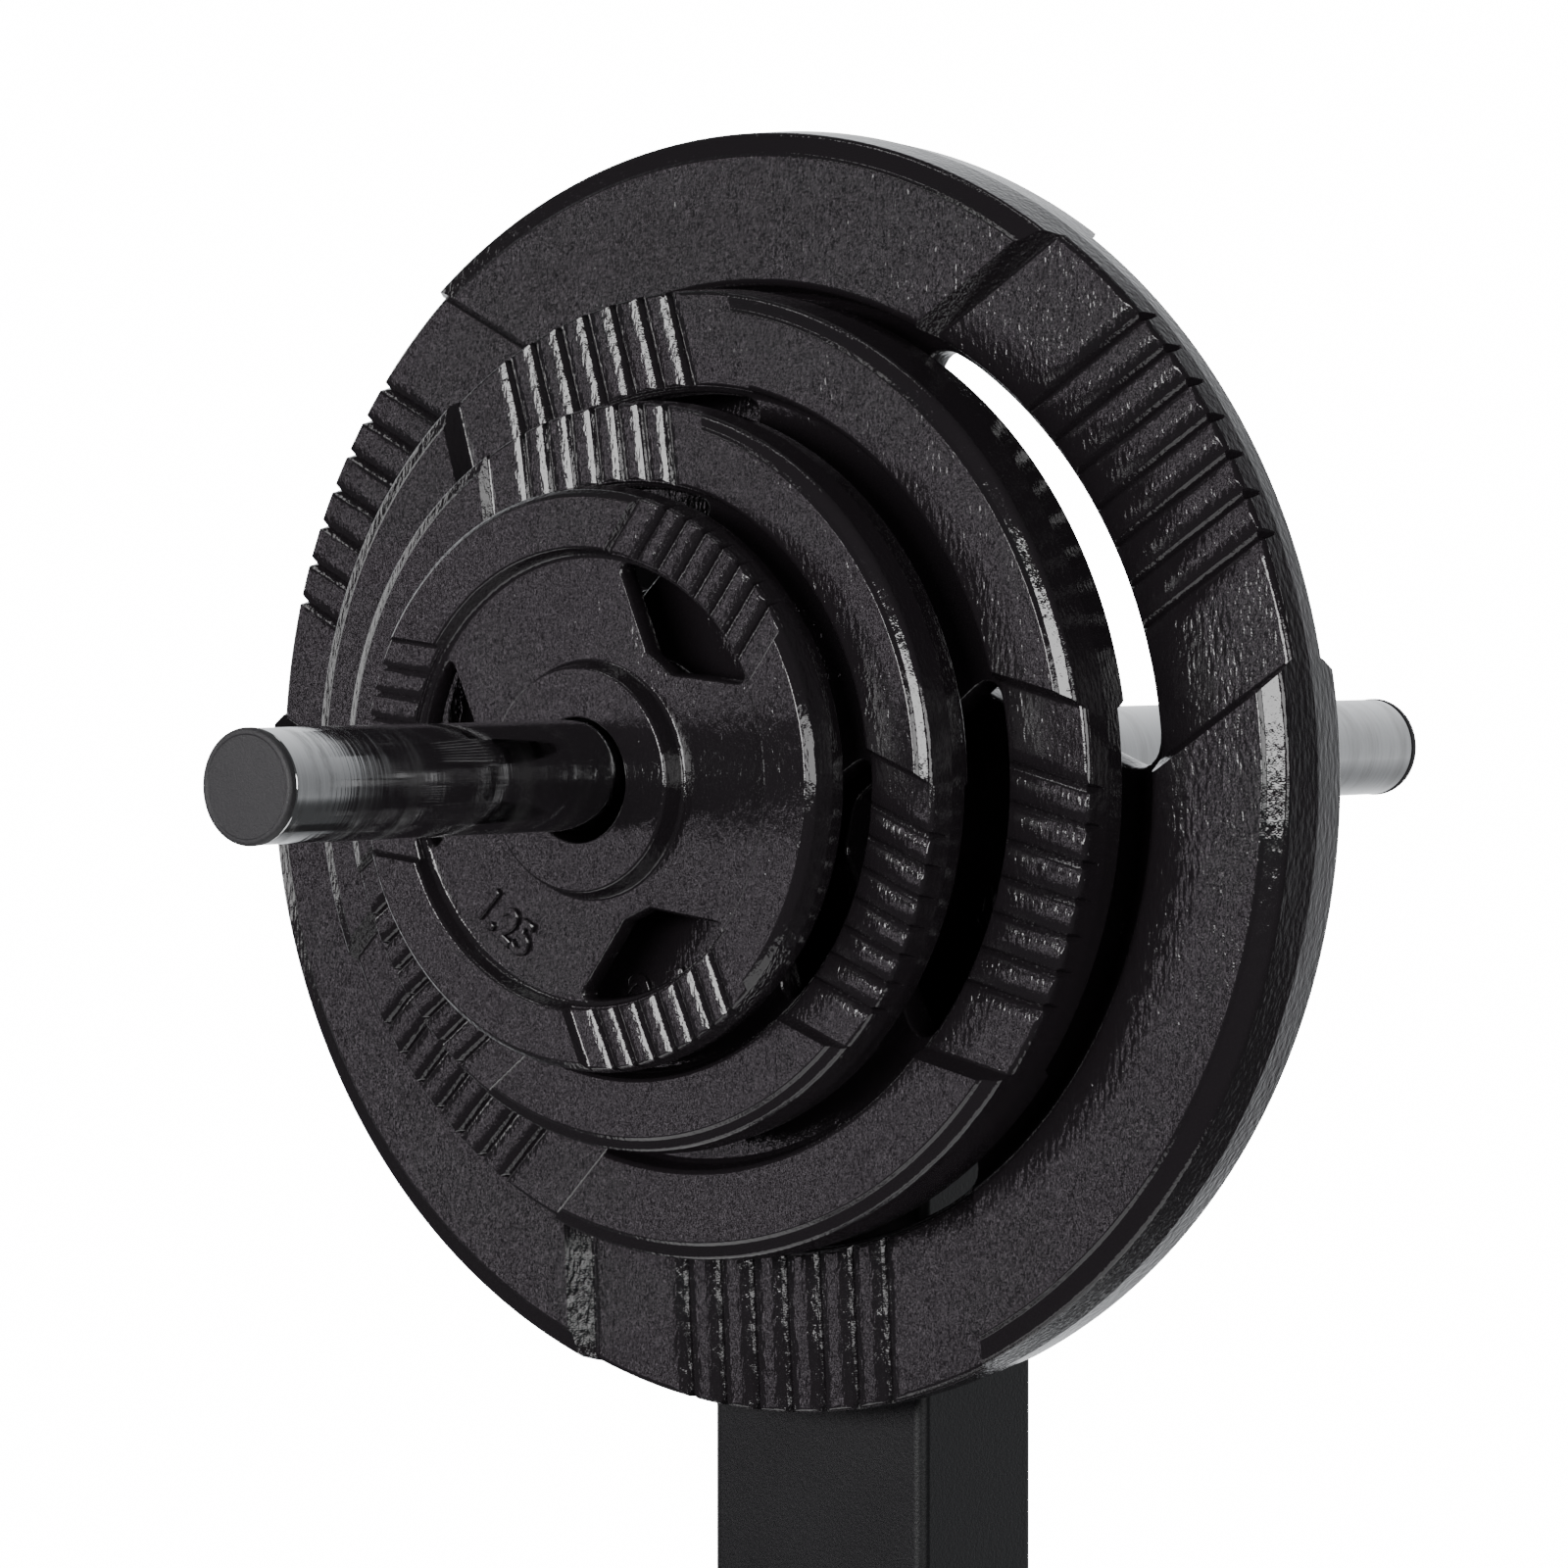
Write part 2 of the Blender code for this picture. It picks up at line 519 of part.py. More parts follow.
def cast_plate(name, plate, middle_y):
    """A cast plate with three finger windows, three raised pads and three grooved grips."""
    drop = PLATE_BORE * MM - PEG_RADIUS - PLATE_SEAT
    place = Matrix.Translation((0, middle_y, PEG_HEIGHTS["top"] - drop)) @ FACING_FRONT
    made = turned(name, plate_profile(plate), plate["steps"], cast_iron, place)
    made.data.materials.clear()
    made.data.materials.append(cast_iron)

    turns = [Matrix.Rotation(radians(plate["grip_angle"] + k * 360 / GRIPS), 4, "Z")
             for k in range(GRIPS)]
    thickness = plate["thickness"] * MM
    window = outline_mesh(window_outline(plate), 2 * thickness)

    # a section drawn in XY stands across the zone: its Y turns to the plate's axis
    # and its length runs outwards
    across = Matrix(((0, 0, 1, 0), (1, 0, 0, 0), (0, 1, 0, 0), (0, 0, 0, 1)))
    start, end = (plate["hub"] + 2) * MM, (plate["radius"] + 6) * MM
    pad_top = thickness / 2 - HUB_PROUD * MM
    grip = outline_mesh(grip_section(plate), end - start)
    grip_place = Matrix.Translation(((start + end) / 2, 0, pad_top)) @ across
    flip = Matrix.Rotation(pi, 4, "X")
    groove = outline_mesh(groove_section(plate), end - start)
    floor = pad_top - plate["grip_depth"] * MM
    groove_places = [Matrix.Translation(((start + end) / 2, k * plate["groove_pitch"] * MM, floor))
                     @ across for k in range(-(GROOVES // 2), GROOVES // 2 + 1)]
    cut(made,
        cutter(name + "_windows", joined((window, turn) for turn in turns), place),
        cutter(name + "_grips", joined(
            (grip, turn @ face @ grip_place) for turn in turns for face in (Matrix(), flip)), place),
        cutter(name + "_grooves", joined(
            (groove, turn @ groove_place) for turn in turns for groove_place in groove_places),
            place))
    return made


def plates():
    """The stack on the front end of the top peg, hub against hub, from the post outwards."""
    back = -POST_DEPTH / 2 - GAP
    for name, plate in PLATES.items():
        thickness = plate["thickness"] * MM
        cast_plate(name, plate, back - thickness / 2)
        back -= thickness + GAP


for old in list(bpy.data.objects):
    bpy.data.objects.remove(old)
parts = new_collection("weight_plate_tree")
cutters = new_collection("cutters")

powder_coat = material("black_powder_coat", (0.022, 0.022, 0.026), 0.55)
chrome = material("chrome", (0.75, 0.76, 0.78), 0.18, 1.0)
black_plastic = material("black_plastic", (0.020, 0.019, 0.021), 0.60)
cast_iron = material("black_enamelled_cast_iron", (0.026, 0.023, 0.026), 0.28)
rubber = material("black_rubber", (0.030, 0.030, 0.030), 0.85)
zinc = material("black_zinc", (0.060, 0.060, 0.065), 0.40, 0.9)

base()
post_and_its_foot()
pegs()
plates()
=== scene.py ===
"""Looks of a weight plate tree with four cast plates on the near end of its top peg.

Metres, +Z up, the floor at z = 0. The pegs lie along Y and the loaded end points to -Y.
"""

import bmesh
import bpy
from math import cos, pi, radians, sin, tan
from mathutils import Matrix, Vector


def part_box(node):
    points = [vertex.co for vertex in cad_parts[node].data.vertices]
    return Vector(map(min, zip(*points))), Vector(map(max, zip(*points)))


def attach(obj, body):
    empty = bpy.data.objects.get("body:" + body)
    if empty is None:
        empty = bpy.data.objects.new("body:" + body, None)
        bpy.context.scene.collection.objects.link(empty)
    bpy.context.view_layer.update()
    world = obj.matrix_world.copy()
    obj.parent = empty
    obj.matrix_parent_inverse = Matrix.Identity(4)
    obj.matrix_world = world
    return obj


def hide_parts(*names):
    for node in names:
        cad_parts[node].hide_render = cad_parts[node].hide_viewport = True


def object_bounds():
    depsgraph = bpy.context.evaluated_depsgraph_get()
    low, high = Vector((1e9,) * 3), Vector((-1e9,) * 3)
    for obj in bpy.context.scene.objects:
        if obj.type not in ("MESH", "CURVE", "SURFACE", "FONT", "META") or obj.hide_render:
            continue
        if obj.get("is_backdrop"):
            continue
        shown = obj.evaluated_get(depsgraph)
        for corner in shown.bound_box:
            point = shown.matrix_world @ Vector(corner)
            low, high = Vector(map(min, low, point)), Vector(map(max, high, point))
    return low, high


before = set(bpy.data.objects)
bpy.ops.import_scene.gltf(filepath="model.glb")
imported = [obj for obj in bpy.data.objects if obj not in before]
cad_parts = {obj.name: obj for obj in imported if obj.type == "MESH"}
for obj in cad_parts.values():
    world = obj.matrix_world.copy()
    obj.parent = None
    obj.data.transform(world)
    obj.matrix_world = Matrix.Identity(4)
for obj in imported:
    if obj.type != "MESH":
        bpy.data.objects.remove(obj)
low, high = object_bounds()
bpy.ops.object.select_all(action="DESELECT")


# Camera. A long lens, a little above the pegs and well to their right, as a product
# photographer stands: fitted to the rims, the peg and the post of the real tree.
CAMERA_PLACE = (1.0806, -1.4555, 1.0584)
CAMERA_TURN = 37.342
CAMERA_PITCH = 1.693

bpy.ops.object.camera_add(location=CAMERA_PLACE,
                          rotation=(radians(90 - CAMERA_PITCH), 0, radians(CAMERA_TURN)))
camera = bpy.context.object
camera.name = "camera"
camera.data.lens = 156.03
camera.data.sensor_width = 36
camera.data.sensor_fit = "HORIZONTAL"
camera.data.clip_end = 30
bpy.context.scene.camera = camera


# Studio. A pale round floor, a white surround that the camera sees, dark to the front for the
# gloss to show against and light behind on the left, and soft boxes: a low wide one in front,
# one on the right, dim strips and a box on the left, and two small ones above.
SHOWN_WHITE = 16.0
FRONT_DARK = 0.08
REAR_LIGHT = 1.5
REARWARDS = (-0.35, 1.0, 0.0)
REAR_EDGE = (0.42, 1.05)
LOW_EDGE = 0.25
LOW_FADE = 0.9
LAMP_DISTANCE = 2.6
LAMP_AIM = (0, -0.08, 0.98)
FLOOR_RADIUS = 0.8
FLOOR_DROP = 0.0006
FLOOR_GLOW = 0.8

bpy.ops.mesh.primitive_circle_add(vertices=96, radius=FLOOR_RADIUS, fill_type="NGON",
                                  location=(0, 0, -FLOOR_DROP))
studio_floor = bpy.context.object
studio_floor.name = "studio_floor"
bpy.ops.object.transform_apply(location=True)
floor_paint = bpy.data.materials.new("studio_floor_paint")
floor_paint.use_nodes = True
floor_values = floor_paint.node_tree.nodes["Principled BSDF"].inputs
floor_values["Base Color"].default_value = (0.78, 0.78, 0.78, 1)
floor_values["Roughness"].default_value = 0.7
floor_values["Emission Color"].default_value = (1, 1, 1, 1)
floor_values["Emission Strength"].default_value = FLOOR_GLOW
studio_floor.data.materials.append(floor_paint)
studio_floor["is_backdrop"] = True


def soft_box(name, azimuth, elevation, width, height, power):
    """A rectangular light that faces the plates, placed by the direction it lies in."""
    a, e = radians(azimuth), radians(elevation)
    away = Vector((sin(a) * cos(e), -cos(a) * cos(e), sin(e)))
    bpy.ops.object.light_add(type="AREA", location=Vector(LAMP_AIM) + away * LAMP_DISTANCE)
    lamp = bpy.context.object
    lamp.name = name
    lamp.rotation_euler = away.to_track_quat("Z", "Y").to_euler()
    lamp.data.shape = "RECTANGLE"
    lamp.data.size = width
    lamp.data.size_y = height
    lamp.data.energy = power
    return lamp


soft_box("front_box", 0, 7, 2.05, 0.66, 66)
soft_box("right_box", 68, 8, 1.9, 1.0, 34)
for k in range(3):
    strip = soft_box("left_strip_%d" % k, -51 + 11 * k, 6, 0.14, 1.8, 2.3)
    strip.data.color = (1.0, 0.91, 1.0)
soft_box("left_side_box", -86, 8, 1.0, 1.4, 12)
soft_box("upper_left_box", -37, 55, 0.5, 0.5, 3.5)
soft_box("overhead_box", 0, 80, 0.6, 0.6, 2.5)

studio = bpy.data.worlds.new("studio_surround")
studio.use_nodes = True
bpy.context.scene.world = studio
nodes, links = studio.node_tree.nodes, studio.node_tree.links
shown = nodes["Background"]
shown.inputs["Color"].default_value = (1, 1, 1, 1)
shown.inputs["Strength"].default_value = SHOWN_WHITE
felt = nodes.new("ShaderNodeBackground")
felt.inputs["Color"].default_value = (0.95, 0.97, 1, 1)
look = nodes.new("ShaderNodeTexCoord")
parts = nodes.new("ShaderNodeSeparateXYZ")
rearwards = nodes.new("ShaderNodeVectorMath")
rearwards.operation = "DOT_PRODUCT"
rearwards.inputs[1].default_value = REARWARDS
height = nodes.new("ShaderNodeMath")
height.inputs[1].default_value = LOW_EDGE
under = nodes.new("ShaderNodeMath")
under.operation = "MINIMUM"
under.inputs[1].default_value = 0.0
behind = nodes.new("ShaderNodeMath")
behind.operation = "MULTIPLY_ADD"
behind.inputs[1].default_value = LOW_FADE
depth = nodes.new("ShaderNodeMapRange")
depth.inputs["From Min"].default_value, depth.inputs["From Max"].default_value = REAR_EDGE
depth.inputs["To Min"].default_value = FRONT_DARK
depth.inputs["To Max"].default_value = REAR_LIGHT
path = nodes.new("ShaderNodeLightPath")
choose = nodes.new("ShaderNodeMixShader")
links.new(look.outputs["Generated"], parts.inputs["Vector"])
links.new(look.outputs["Generated"], rearwards.inputs[0])
links.new(parts.outputs["Z"], height.inputs[0])
links.new(height.outputs[0], under.inputs[0])
links.new(under.outputs[0], behind.inputs[0])
links.new(rearwards.outputs["Value"], behind.inputs[2])
links.new(behind.outputs[0], depth.inputs["Value"])
links.new(depth.outputs["Result"], felt.inputs["Strength"])
links.new(path.outputs["Is Camera Ray"], choose.inputs["Fac"])
links.new(felt.outputs["Background"], choose.inputs[1])
links.new(shown.outputs["Background"], choose.inputs[2])
links.new(choose.outputs["Shader"], nodes["World Output"].inputs["Surface"])


# Cast plates. Four grey-iron castings in stepped sizes under glossy black enamel, hung hub
# against hub. Each face has a proud hub, a sunk web with three finger windows, and a ring
# whose three raised pads leave three finger grips, reeded on the front face and plain on the rear.
BORE = 15.75
RIM_ROUND = 0.15
WEB_EDGE = 0.9
HUB_PROUD = 1.2
WALL_DRAFT = 1.5
RIM_DRAFT = 1.0
PAD_STEP = 0.9
PAD_RAKE = 0.55
REEDS = 7
VALLEY_SHARE = 0.22
VALLEY_DEPTH = 0.12
CROWN_SLOPE = 18
FILLET_STEPS = 4
BLADE_RISE = 4
BLADE_OVERRUN = 6
ZONE_START = 0.02
ZONE_DEPTH = 5
ZONE_SHY = 1.5
ZONE_LAP = 0.2
ZONE_RISE = 0.5
VALLEY_END_EXTRA = 0.06
VALLEY_END_ROUND = 0.8
VALLEY_RUN_IN = 0.004
VALLEY_RUN_OUT = (0.0018, 0, -0.0035)
WINDOW_MARGIN = 0.2
WINDOW_BOW = 2.2
WINDOW_START = 0.2
WINDOW_ROLL = ((0.45, 0.3), (0.3, 0.35), (0.25, 0.55), (0.1, 0.6))
WINDOW_ROLL_DEPTH = 1.6
WINDOW_DRAFT = 0.4
PLATE_SIZES = {
    "plate_10kg": {"web": 10.0, "hub": 42.0, "ring": 127.0, "ring_round": 2.4, "pad": 160.4, "corner": 3.7,
                   "grip_depth": 7.0, "grip_half_width": 67.5, "reed_pitch": 10.9, "grip_angle": 33.0,
                   "window_spread": 34.0, "window_inner": 62.0, "window_neck": 9.0,
                   "window_corner": 9.0, "mark": "10", "mark_angle": 213.0, "steps": 240},
    "plate_5kg": {"web": 10.5, "hub": 36.0, "ring": 101.5, "ring_round": 1.8, "pad": 120.0, "corner": 3.2,
                  "grip_depth": 5.0, "grip_half_width": 50.0, "reed_pitch": 9.4, "grip_angle": 106.5,
                  "window_spread": 31.0, "window_inner": 50.0, "window_neck": 7.0,
                  "window_corner": 6.0, "mark": "5", "mark_angle": 286.5, "steps": 216},
    "plate_2_5kg": {"web": 8.5, "hub": 32.0, "ring": 76.7, "ring_round": 1.3, "pad": 91.5, "corner": 3.1,
                    "grip_depth": 2.8, "grip_half_width": 37.0, "reed_pitch": 7.9, "grip_angle": 98.0,
                    "window_spread": 29.0, "window_inner": 43.0, "window_neck": 5.5,
                    "window_corner": 4.0, "mark": "2.5", "mark_angle": 278.0, "steps": 192},
    "plate_1_25kg": {"web": 6.5, "hub": 30.0, "ring": 58.5, "ring_round": 1.0, "pad": 71.5, "corner": 3.4,
                     "grip_depth": 2.0, "grip_half_width": 28.5, "reed_pitch": 6.7, "grip_angle": 293.4,
                     "window_spread": 29.0, "window_inner": 36.0, "window_neck": 4.7,
                     "window_corner": 3.0, "mark": "1.25", "mark_angle": 233.4, "steps": 180},
}
MM = 0.001


def pick_up(piece):
    """Makes a piece the only one selected, and the active one."""
    bpy.ops.object.select_all(action="DESELECT")
    piece.select_set(True)
    bpy.context.view_layer.objects.active = piece


def select_where(kind, test):
    """In edit mode, selects the vertices, edges or faces that pass a test and nothing else."""
    bpy.ops.mesh.select_mode(type=kind)
    bpy.ops.mesh.select_all(action="DESELECT")
    shell = bmesh.from_edit_mesh(bpy.context.edit_object.data)
    for part in {"VERT": shell.verts, "EDGE": shell.edges, "FACE": shell.faces}[kind]:
        if test(part):
            part.select_set(True)
    shell.select_flush_mode()


def draw_outline(name, points):
    """A closed line drawn from point to point with the extrude key; left in edit mode."""
    bpy.ops.mesh.primitive_plane_add(size=0.002, location=points[0])
    piece = bpy.context.object
    piece.name = name
    bpy.ops.object.transform_apply(location=True)
    bpy.ops.object.mode_set(mode="EDIT")
    bpy.ops.mesh.select_mode(type="VERT")
    bpy.ops.mesh.select_all(action="SELECT")
    bpy.ops.mesh.merge(type="CENTER")
    here = Vector(points[0])
    for point in points[1:]:
        bpy.ops.mesh.extrude_vertices_move(
            TRANSFORM_OT_translate={"value": Vector(point) - here})
        here = Vector(point)
    for vert in bmesh.from_edit_mesh(piece.data).verts:
        if (vert.co - Vector(points[0])).length < 0.000001:
            vert.select_set(True)
    bpy.ops.mesh.edge_face_add()
    return piece


def fill_outline():
    """In edit mode, closes the drawn outline with a face."""
    bpy.ops.mesh.select_all(action="SELECT")
    bpy.ops.mesh.edge_face_add()


def extrude(x, y, z):
    """In edit mode, extrudes what is selected by that much."""
    bpy.ops.mesh.extrude_region_move(TRANSFORM_OT_translate={"value": (x, y, z)})


def round_corner(point, radius, segments):
    """In edit mode, gives the outline's corner at a point a fillet of that radius."""
    select_where("VERT", lambda vert: (vert.co - Vector(point)).length < 0.00002)
    shell = bmesh.from_edit_mesh(bpy.context.edit_object.data)
    corner = [vert for vert in shell.verts if vert.select][0]
    along, back = [edge.other_vert(corner).co - corner.co for edge in corner.link_edges]
    bpy.ops.mesh.bevel(affect="VERTICES", offset_type="OFFSET", segments=segments, profile=0.5,
                       offset=radius / tan(along.angle(back) / 2))


def finish_shell():
    """In edit mode, welds the doubles, turns every face outwards and leaves edit mode."""
    bpy.ops.mesh.select_mode(type="VERT")
    bpy.ops.mesh.select_all(action="SELECT")
    bpy.ops.mesh.remove_doubles(threshold=0.000004)
    bpy.ops.mesh.normals_make_consistent(inside=False)
    bpy.ops.object.mode_set(mode="OBJECT")


def turn_on_lathe(steps):
    """In edit mode, spins the drawn half section round local Z into a closed solid."""
    bpy.ops.mesh.select_all(action="SELECT")
    bpy.ops.mesh.spin(steps=steps, angle=2 * pi, center=(0, 0, 0), axis=(0, 0, 1))
    finish_shell()


def apply_modifier(piece, kind, **settings):
    """Adds a modifier with its settings and applies it."""
    pick_up(piece)
    made = piece.modifiers.new(kind.lower(), kind)
    for key, value in settings.items():
        setattr(made, key, value)
    bpy.ops.object.modifier_apply(modifier=made.name)


def cut_away(piece, cutter, operation="DIFFERENCE"):
    """Cuts with another solid, which is used up."""
    apply_modifier(piece, "BOOLEAN", operation=operation, solver="EXACT", object=cutter)
    bpy.data.objects.remove(cutter)


def quarter_turn(axis):
    """A right-angled turn about an axis."""
    return Matrix.Rotation(radians(90), 4, axis)


def copied(piece, turn):
    """A copy with its own mesh, moved and applied."""
    copy = piece.copy()
    copy.data = piece.data.copy()
    bpy.context.scene.collection.objects.link(copy)
    copy.data.transform(turn)
    return copy


def as_one(pieces):
    """Joins copies into the first of them."""
    pick_up(pieces[0])
    for piece in pieces:
        piece.select_set(True)
    if len(pieces) > 1:
        bpy.ops.object.join()
    return pieces[0]


def turn_casting(name, sizes, radius, half):
    """The casting as it leaves the lathe drawing: hub, web, ring and drafted rim."""
    web, ring, hub = sizes["web"] / 2, sizes["ring"], sizes["hub"]
    pad_top = half - HUB_PROUD
    front = [(BORE, half, 0.6), (hub - WALL_DRAFT, half, 0.9), (hub, web, 1.1),
             (ring - WALL_DRAFT, web, 1.8), (ring, pad_top, sizes["ring_round"]),
             (sizes["pad"], pad_top, 0.6), (sizes["pad"] + PAD_STEP, pad_top - PAD_STEP, 0.6),
             (radius - RIM_DRAFT, half - sizes["corner"], 1.6)]
    rear = [(r, -z, size) for r, z, size in reversed(front)]
    rear.pop(1)
    corners = front + [(radius, 0, 2.0)] + rear
    points = [(r * MM, 0, z * MM) for r, z, size in corners]
    casting = draw_outline(name, points)
    for point, (r, z, size) in zip(points, corners):
        round_corner(point, size * MM, FILLET_STEPS)
    turn_on_lathe(sizes["steps"])
    return casting


def grip_cutter(sizes, radius, half, reeds):
    """What is cut from a face to make one grip: raked ends, and a floor of convex reeds."""
    pad_top = half - HUB_PROUD
    floor, pitch = pad_top - sizes["grip_depth"], sizes["reed_pitch"]
    foot = sizes["grip_half_width"] - PAD_RAKE * sizes["grip_depth"]
    above = sizes["grip_half_width"] + PAD_RAKE * BLADE_RISE
    mouth = VALLEY_SHARE * pitch / 2
    crown = pitch / 2 - mouth
    sag = crown * tan(radians(CROWN_SLOPE)) / 2
    half_floor = [] if reeds else [(0, floor)]
    for k in range(reeds // 2 + 1 if reeds else 0):
        valley = k * pitch
        half_floor.append((valley, floor - sag - VALLEY_DEPTH * pitch))
        for share in (-1, -0.75, -0.5, -0.25, 0, 0.25, 0.5, 0.75, 1):
            if k == reeds // 2 and share > 0:
                continue
            half_floor.append((valley + mouth + crown * (1 + share), floor - sag * share * share))
    half_floor.append((foot, floor))
    half_floor.append((above, pad_top + BLADE_RISE))
    section = [(-y, z) for y, z in reversed(half_floor[1:])] + half_floor
    start, end = (sizes["hub"] + 2) * MM, (radius + BLADE_OVERRUN) * MM
    cutter = draw_outline("grip_cutter", [(start, y * MM, z * MM) for y, z in section])
    for side in (-1, 1):
        round_corner((start, side * foot * MM, floor * MM), 1.0 * MM, FILLET_STEPS)
    fill_outline()
    extrude(end - start, 0, 0)
    finish_shell()
    return cutter


def grip_edge_cutter(sizes, radius, half):
    """Rounds a grip's floor into the rim and into the ring's inner wall."""
    pad_top = half - HUB_PROUD
    floor = pad_top - sizes["grip_depth"]
    rim = radius - RIM_DRAFT * floor / (half - sizes["corner"])
    wall = sizes["ring"] - WALL_DRAFT * (pad_top - floor) / (pad_top - sizes["web"] / 2)
    made = []
    for edge, inwards, reach in ((rim, -1, RIM_ROUND * sizes["reed_pitch"]), (wall, 1, WEB_EDGE)):
        arc = [(edge + inwards * reach * (1 - sin(a)), floor - reach * (1 - cos(a)))
               for a in [radians(15 * i) for i in range(7)]]
        outside = edge - inwards * 3
        section = arc + [(outside, floor - reach), (outside, floor + 3),
                         (edge + inwards * reach, floor + 3)]
        ring = draw_outline("edge_ring", [(r * MM, 0, z * MM) for r, z in section])
        turn_on_lathe(sizes["steps"])
        made.append(ring)
    foot = sizes["grip_half_width"] - PAD_RAKE * sizes["grip_depth"]
    lower, upper, base, top = foot - ZONE_SHY, foot + ZONE_LAP, floor - ZONE_DEPTH, floor + ZONE_RISE
    zone = draw_outline("zone", [(ZONE_START, y * MM, z * MM) for y, z in (
        (-lower, base), (lower, base), (upper, top), (-upper, top))])
    fill_outline()
    extrude((radius + BLADE_OVERRUN) * MM - ZONE_START, 0, 0)
    finish_shell()
    rings = as_one(made)
    cut_away(zone, rings, "INTERSECT")
    return zone


def valley_end_cutter(sizes, radius, half, offset):
    """Carries one valley between the reeds round the corner of the rim, where it fades out."""
    floor, pitch = half - HUB_PROUD - sizes["grip_depth"], sizes["reed_pitch"]
    depth = (VALLEY_DEPTH + VALLEY_END_EXTRA) * pitch
    mouth = VALLEY_SHARE * pitch / 2
    rim = (radius ** 2 - offset ** 2) ** 0.5 - RIM_DRAFT * floor / (half - sizes["corner"])
    turn = depth + VALLEY_END_ROUND
    start = (rim - turn) * MM
    cutter = draw_outline("valley_end", [(start - VALLEY_RUN_IN, y * MM, z * MM) for y, z in (
        (offset, floor - depth), (offset + 2 * mouth, floor + depth), (offset - 2 * mouth, floor + depth))])
    fill_outline()
    extrude(VALLEY_RUN_IN, 0, 0)
    bpy.ops.mesh.spin(steps=8, angle=radians(84), axis=(0, -1, 0),
                      center=(start, offset * MM, (floor - turn) * MM))
    extrude(*VALLEY_RUN_OUT)
    finish_shell()
    return cutter


def window_cutter(sizes):
    """One finger window: an arc under the ring, two raked sides and a short inner end, with
    its edges rolled over and its walls drafted to the middle of the web."""
    web, outer = sizes["web"] / 2, sizes["ring"] - WALL_DRAFT - WINDOW_MARGIN
    spread = radians(sizes["window_spread"])
    bow = spread - WINDOW_BOW * sizes["window_corner"] / outer
    arc = [(outer * cos(a), outer * sin(a))
           for a in [-spread] + [bow * (i / 12 - 1) for i in range(25)] + [spread]]
    inner, neck = sizes["window_inner"], sizes["window_neck"]
    outline = arc + [(inner, neck), (inner, -neck)]
    top = web + WINDOW_START
    cutter = draw_outline("window_cutter", [(x * MM, y * MM, top * MM) for x, y in outline])
    for x, y in (arc[0], arc[-1], (inner, neck), (inner, -neck)):
        round_corner((x * MM, y * MM, top * MM), sizes["window_corner"] * MM, 8)
    fill_outline()
    if [face for face in bmesh.from_edit_mesh(cutter.data).faces][0].normal.z < 0:
        bpy.ops.mesh.flip_normals()
    for inset, sink in WINDOW_ROLL + ((WINDOW_DRAFT, web - WINDOW_ROLL_DEPTH),):
        bpy.ops.mesh.inset(thickness=inset * MM, depth=-sink * MM, use_even_offset=True)
    bpy.ops.mesh.delete(type="FACE")
    finish_shell()
    apply_modifier(cutter, "MIRROR", use_axis=(False, False, True), merge_threshold=0.0001)
    pick_up(cutter)
    bpy.ops.object.mode_set(mode="EDIT")
    select_where("EDGE", lambda edge: edge.is_boundary)
    bpy.ops.mesh.edge_face_add()
    finish_shell()
    return cutter


def new_finish(name, colour, roughness, metallic=0.0):
    """A material with its shader's plain values set, and a short way to add nodes to it."""
    finish = bpy.data.materials.new(name)
    finish.use_nodes = True
    shader = finish.node_tree.nodes["Principled BSDF"]
    shader.inputs["Base Color"].default_value = (*colour, 1)
    shader.inputs["Roughness"].default_value = roughness
    shader.inputs["Metallic"].default_value = metallic
    return finish, shader


def add_node(tree, kind, settings=None, **inputs):
    """Adds a node, with properties in settings and values or links for its inputs."""
    node = tree.nodes.new("ShaderNode" + kind)
    for key, value in (settings or {}).items():
        setattr(node, key, value)
    for key, value in inputs.items():
        socket = node.inputs[key.replace("_", " ")]
        if isinstance(value, bpy.types.NodeSocket):
            tree.links.new(value, socket)
        else:
            socket.default_value = value
    return node


SAG = 0.40
SPECKS = 2600.0
ENAMEL_COLOUR = (0.0115, 0.0096, 0.0112)
ENAMEL_GLOSS = (0.05, 0.12)
GRIT_DEPTH = 0.00005


def cast_skin_group():
    """The skin of a painted casting: grain drawn out downwards as thick enamel sags, slow waves
    and fine specks."""
    group = bpy.data.node_groups.new("cast_skin", "ShaderNodeTree")
    for label, value in (("Cells", 420.0), ("Waves", 90.0), ("Wave share", 2.0)):
        socket = group.interface.new_socket(label, in_out="INPUT", socket_type="NodeSocketFloat")
        socket.default_value = value
    for label in ("Height", "Specks"):
        group.interface.new_socket(label, in_out="OUTPUT", socket_type="NodeSocketFloat")
    given, result = group.nodes.new("NodeGroupInput"), group.nodes.new("NodeGroupOutput")
    place = add_node(group, "TexCoord").outputs["Object"]
    sagged = add_node(group, "Mapping", Vector=place, Scale=(1.0, 1.0, SAG)).outputs["Vector"]
    cells = add_node(group, "TexNoise", Vector=sagged, Scale=given.outputs["Cells"], Detail=1.0,
                     Roughness=0.5)
    waves = add_node(group, "TexNoise", Vector=place, Scale=given.outputs["Waves"], Detail=1.0)
    specks = add_node(group, "TexNoise", Vector=place, Scale=SPECKS, Detail=0.0)
    rough = add_node(group, "Math", {"operation": "MULTIPLY_ADD"})
    group.links.new(waves.outputs["Fac"], rough.inputs[0])
    group.links.new(given.outputs["Wave share"], rough.inputs[1])
    group.links.new(cells.outputs["Fac"], rough.inputs[2])
    group.links.new(rough.outputs[0], result.inputs["Height"])
    group.links.new(specks.outputs["Fac"], result.inputs["Specks"])
    return group


cast_skin = cast_skin_group()


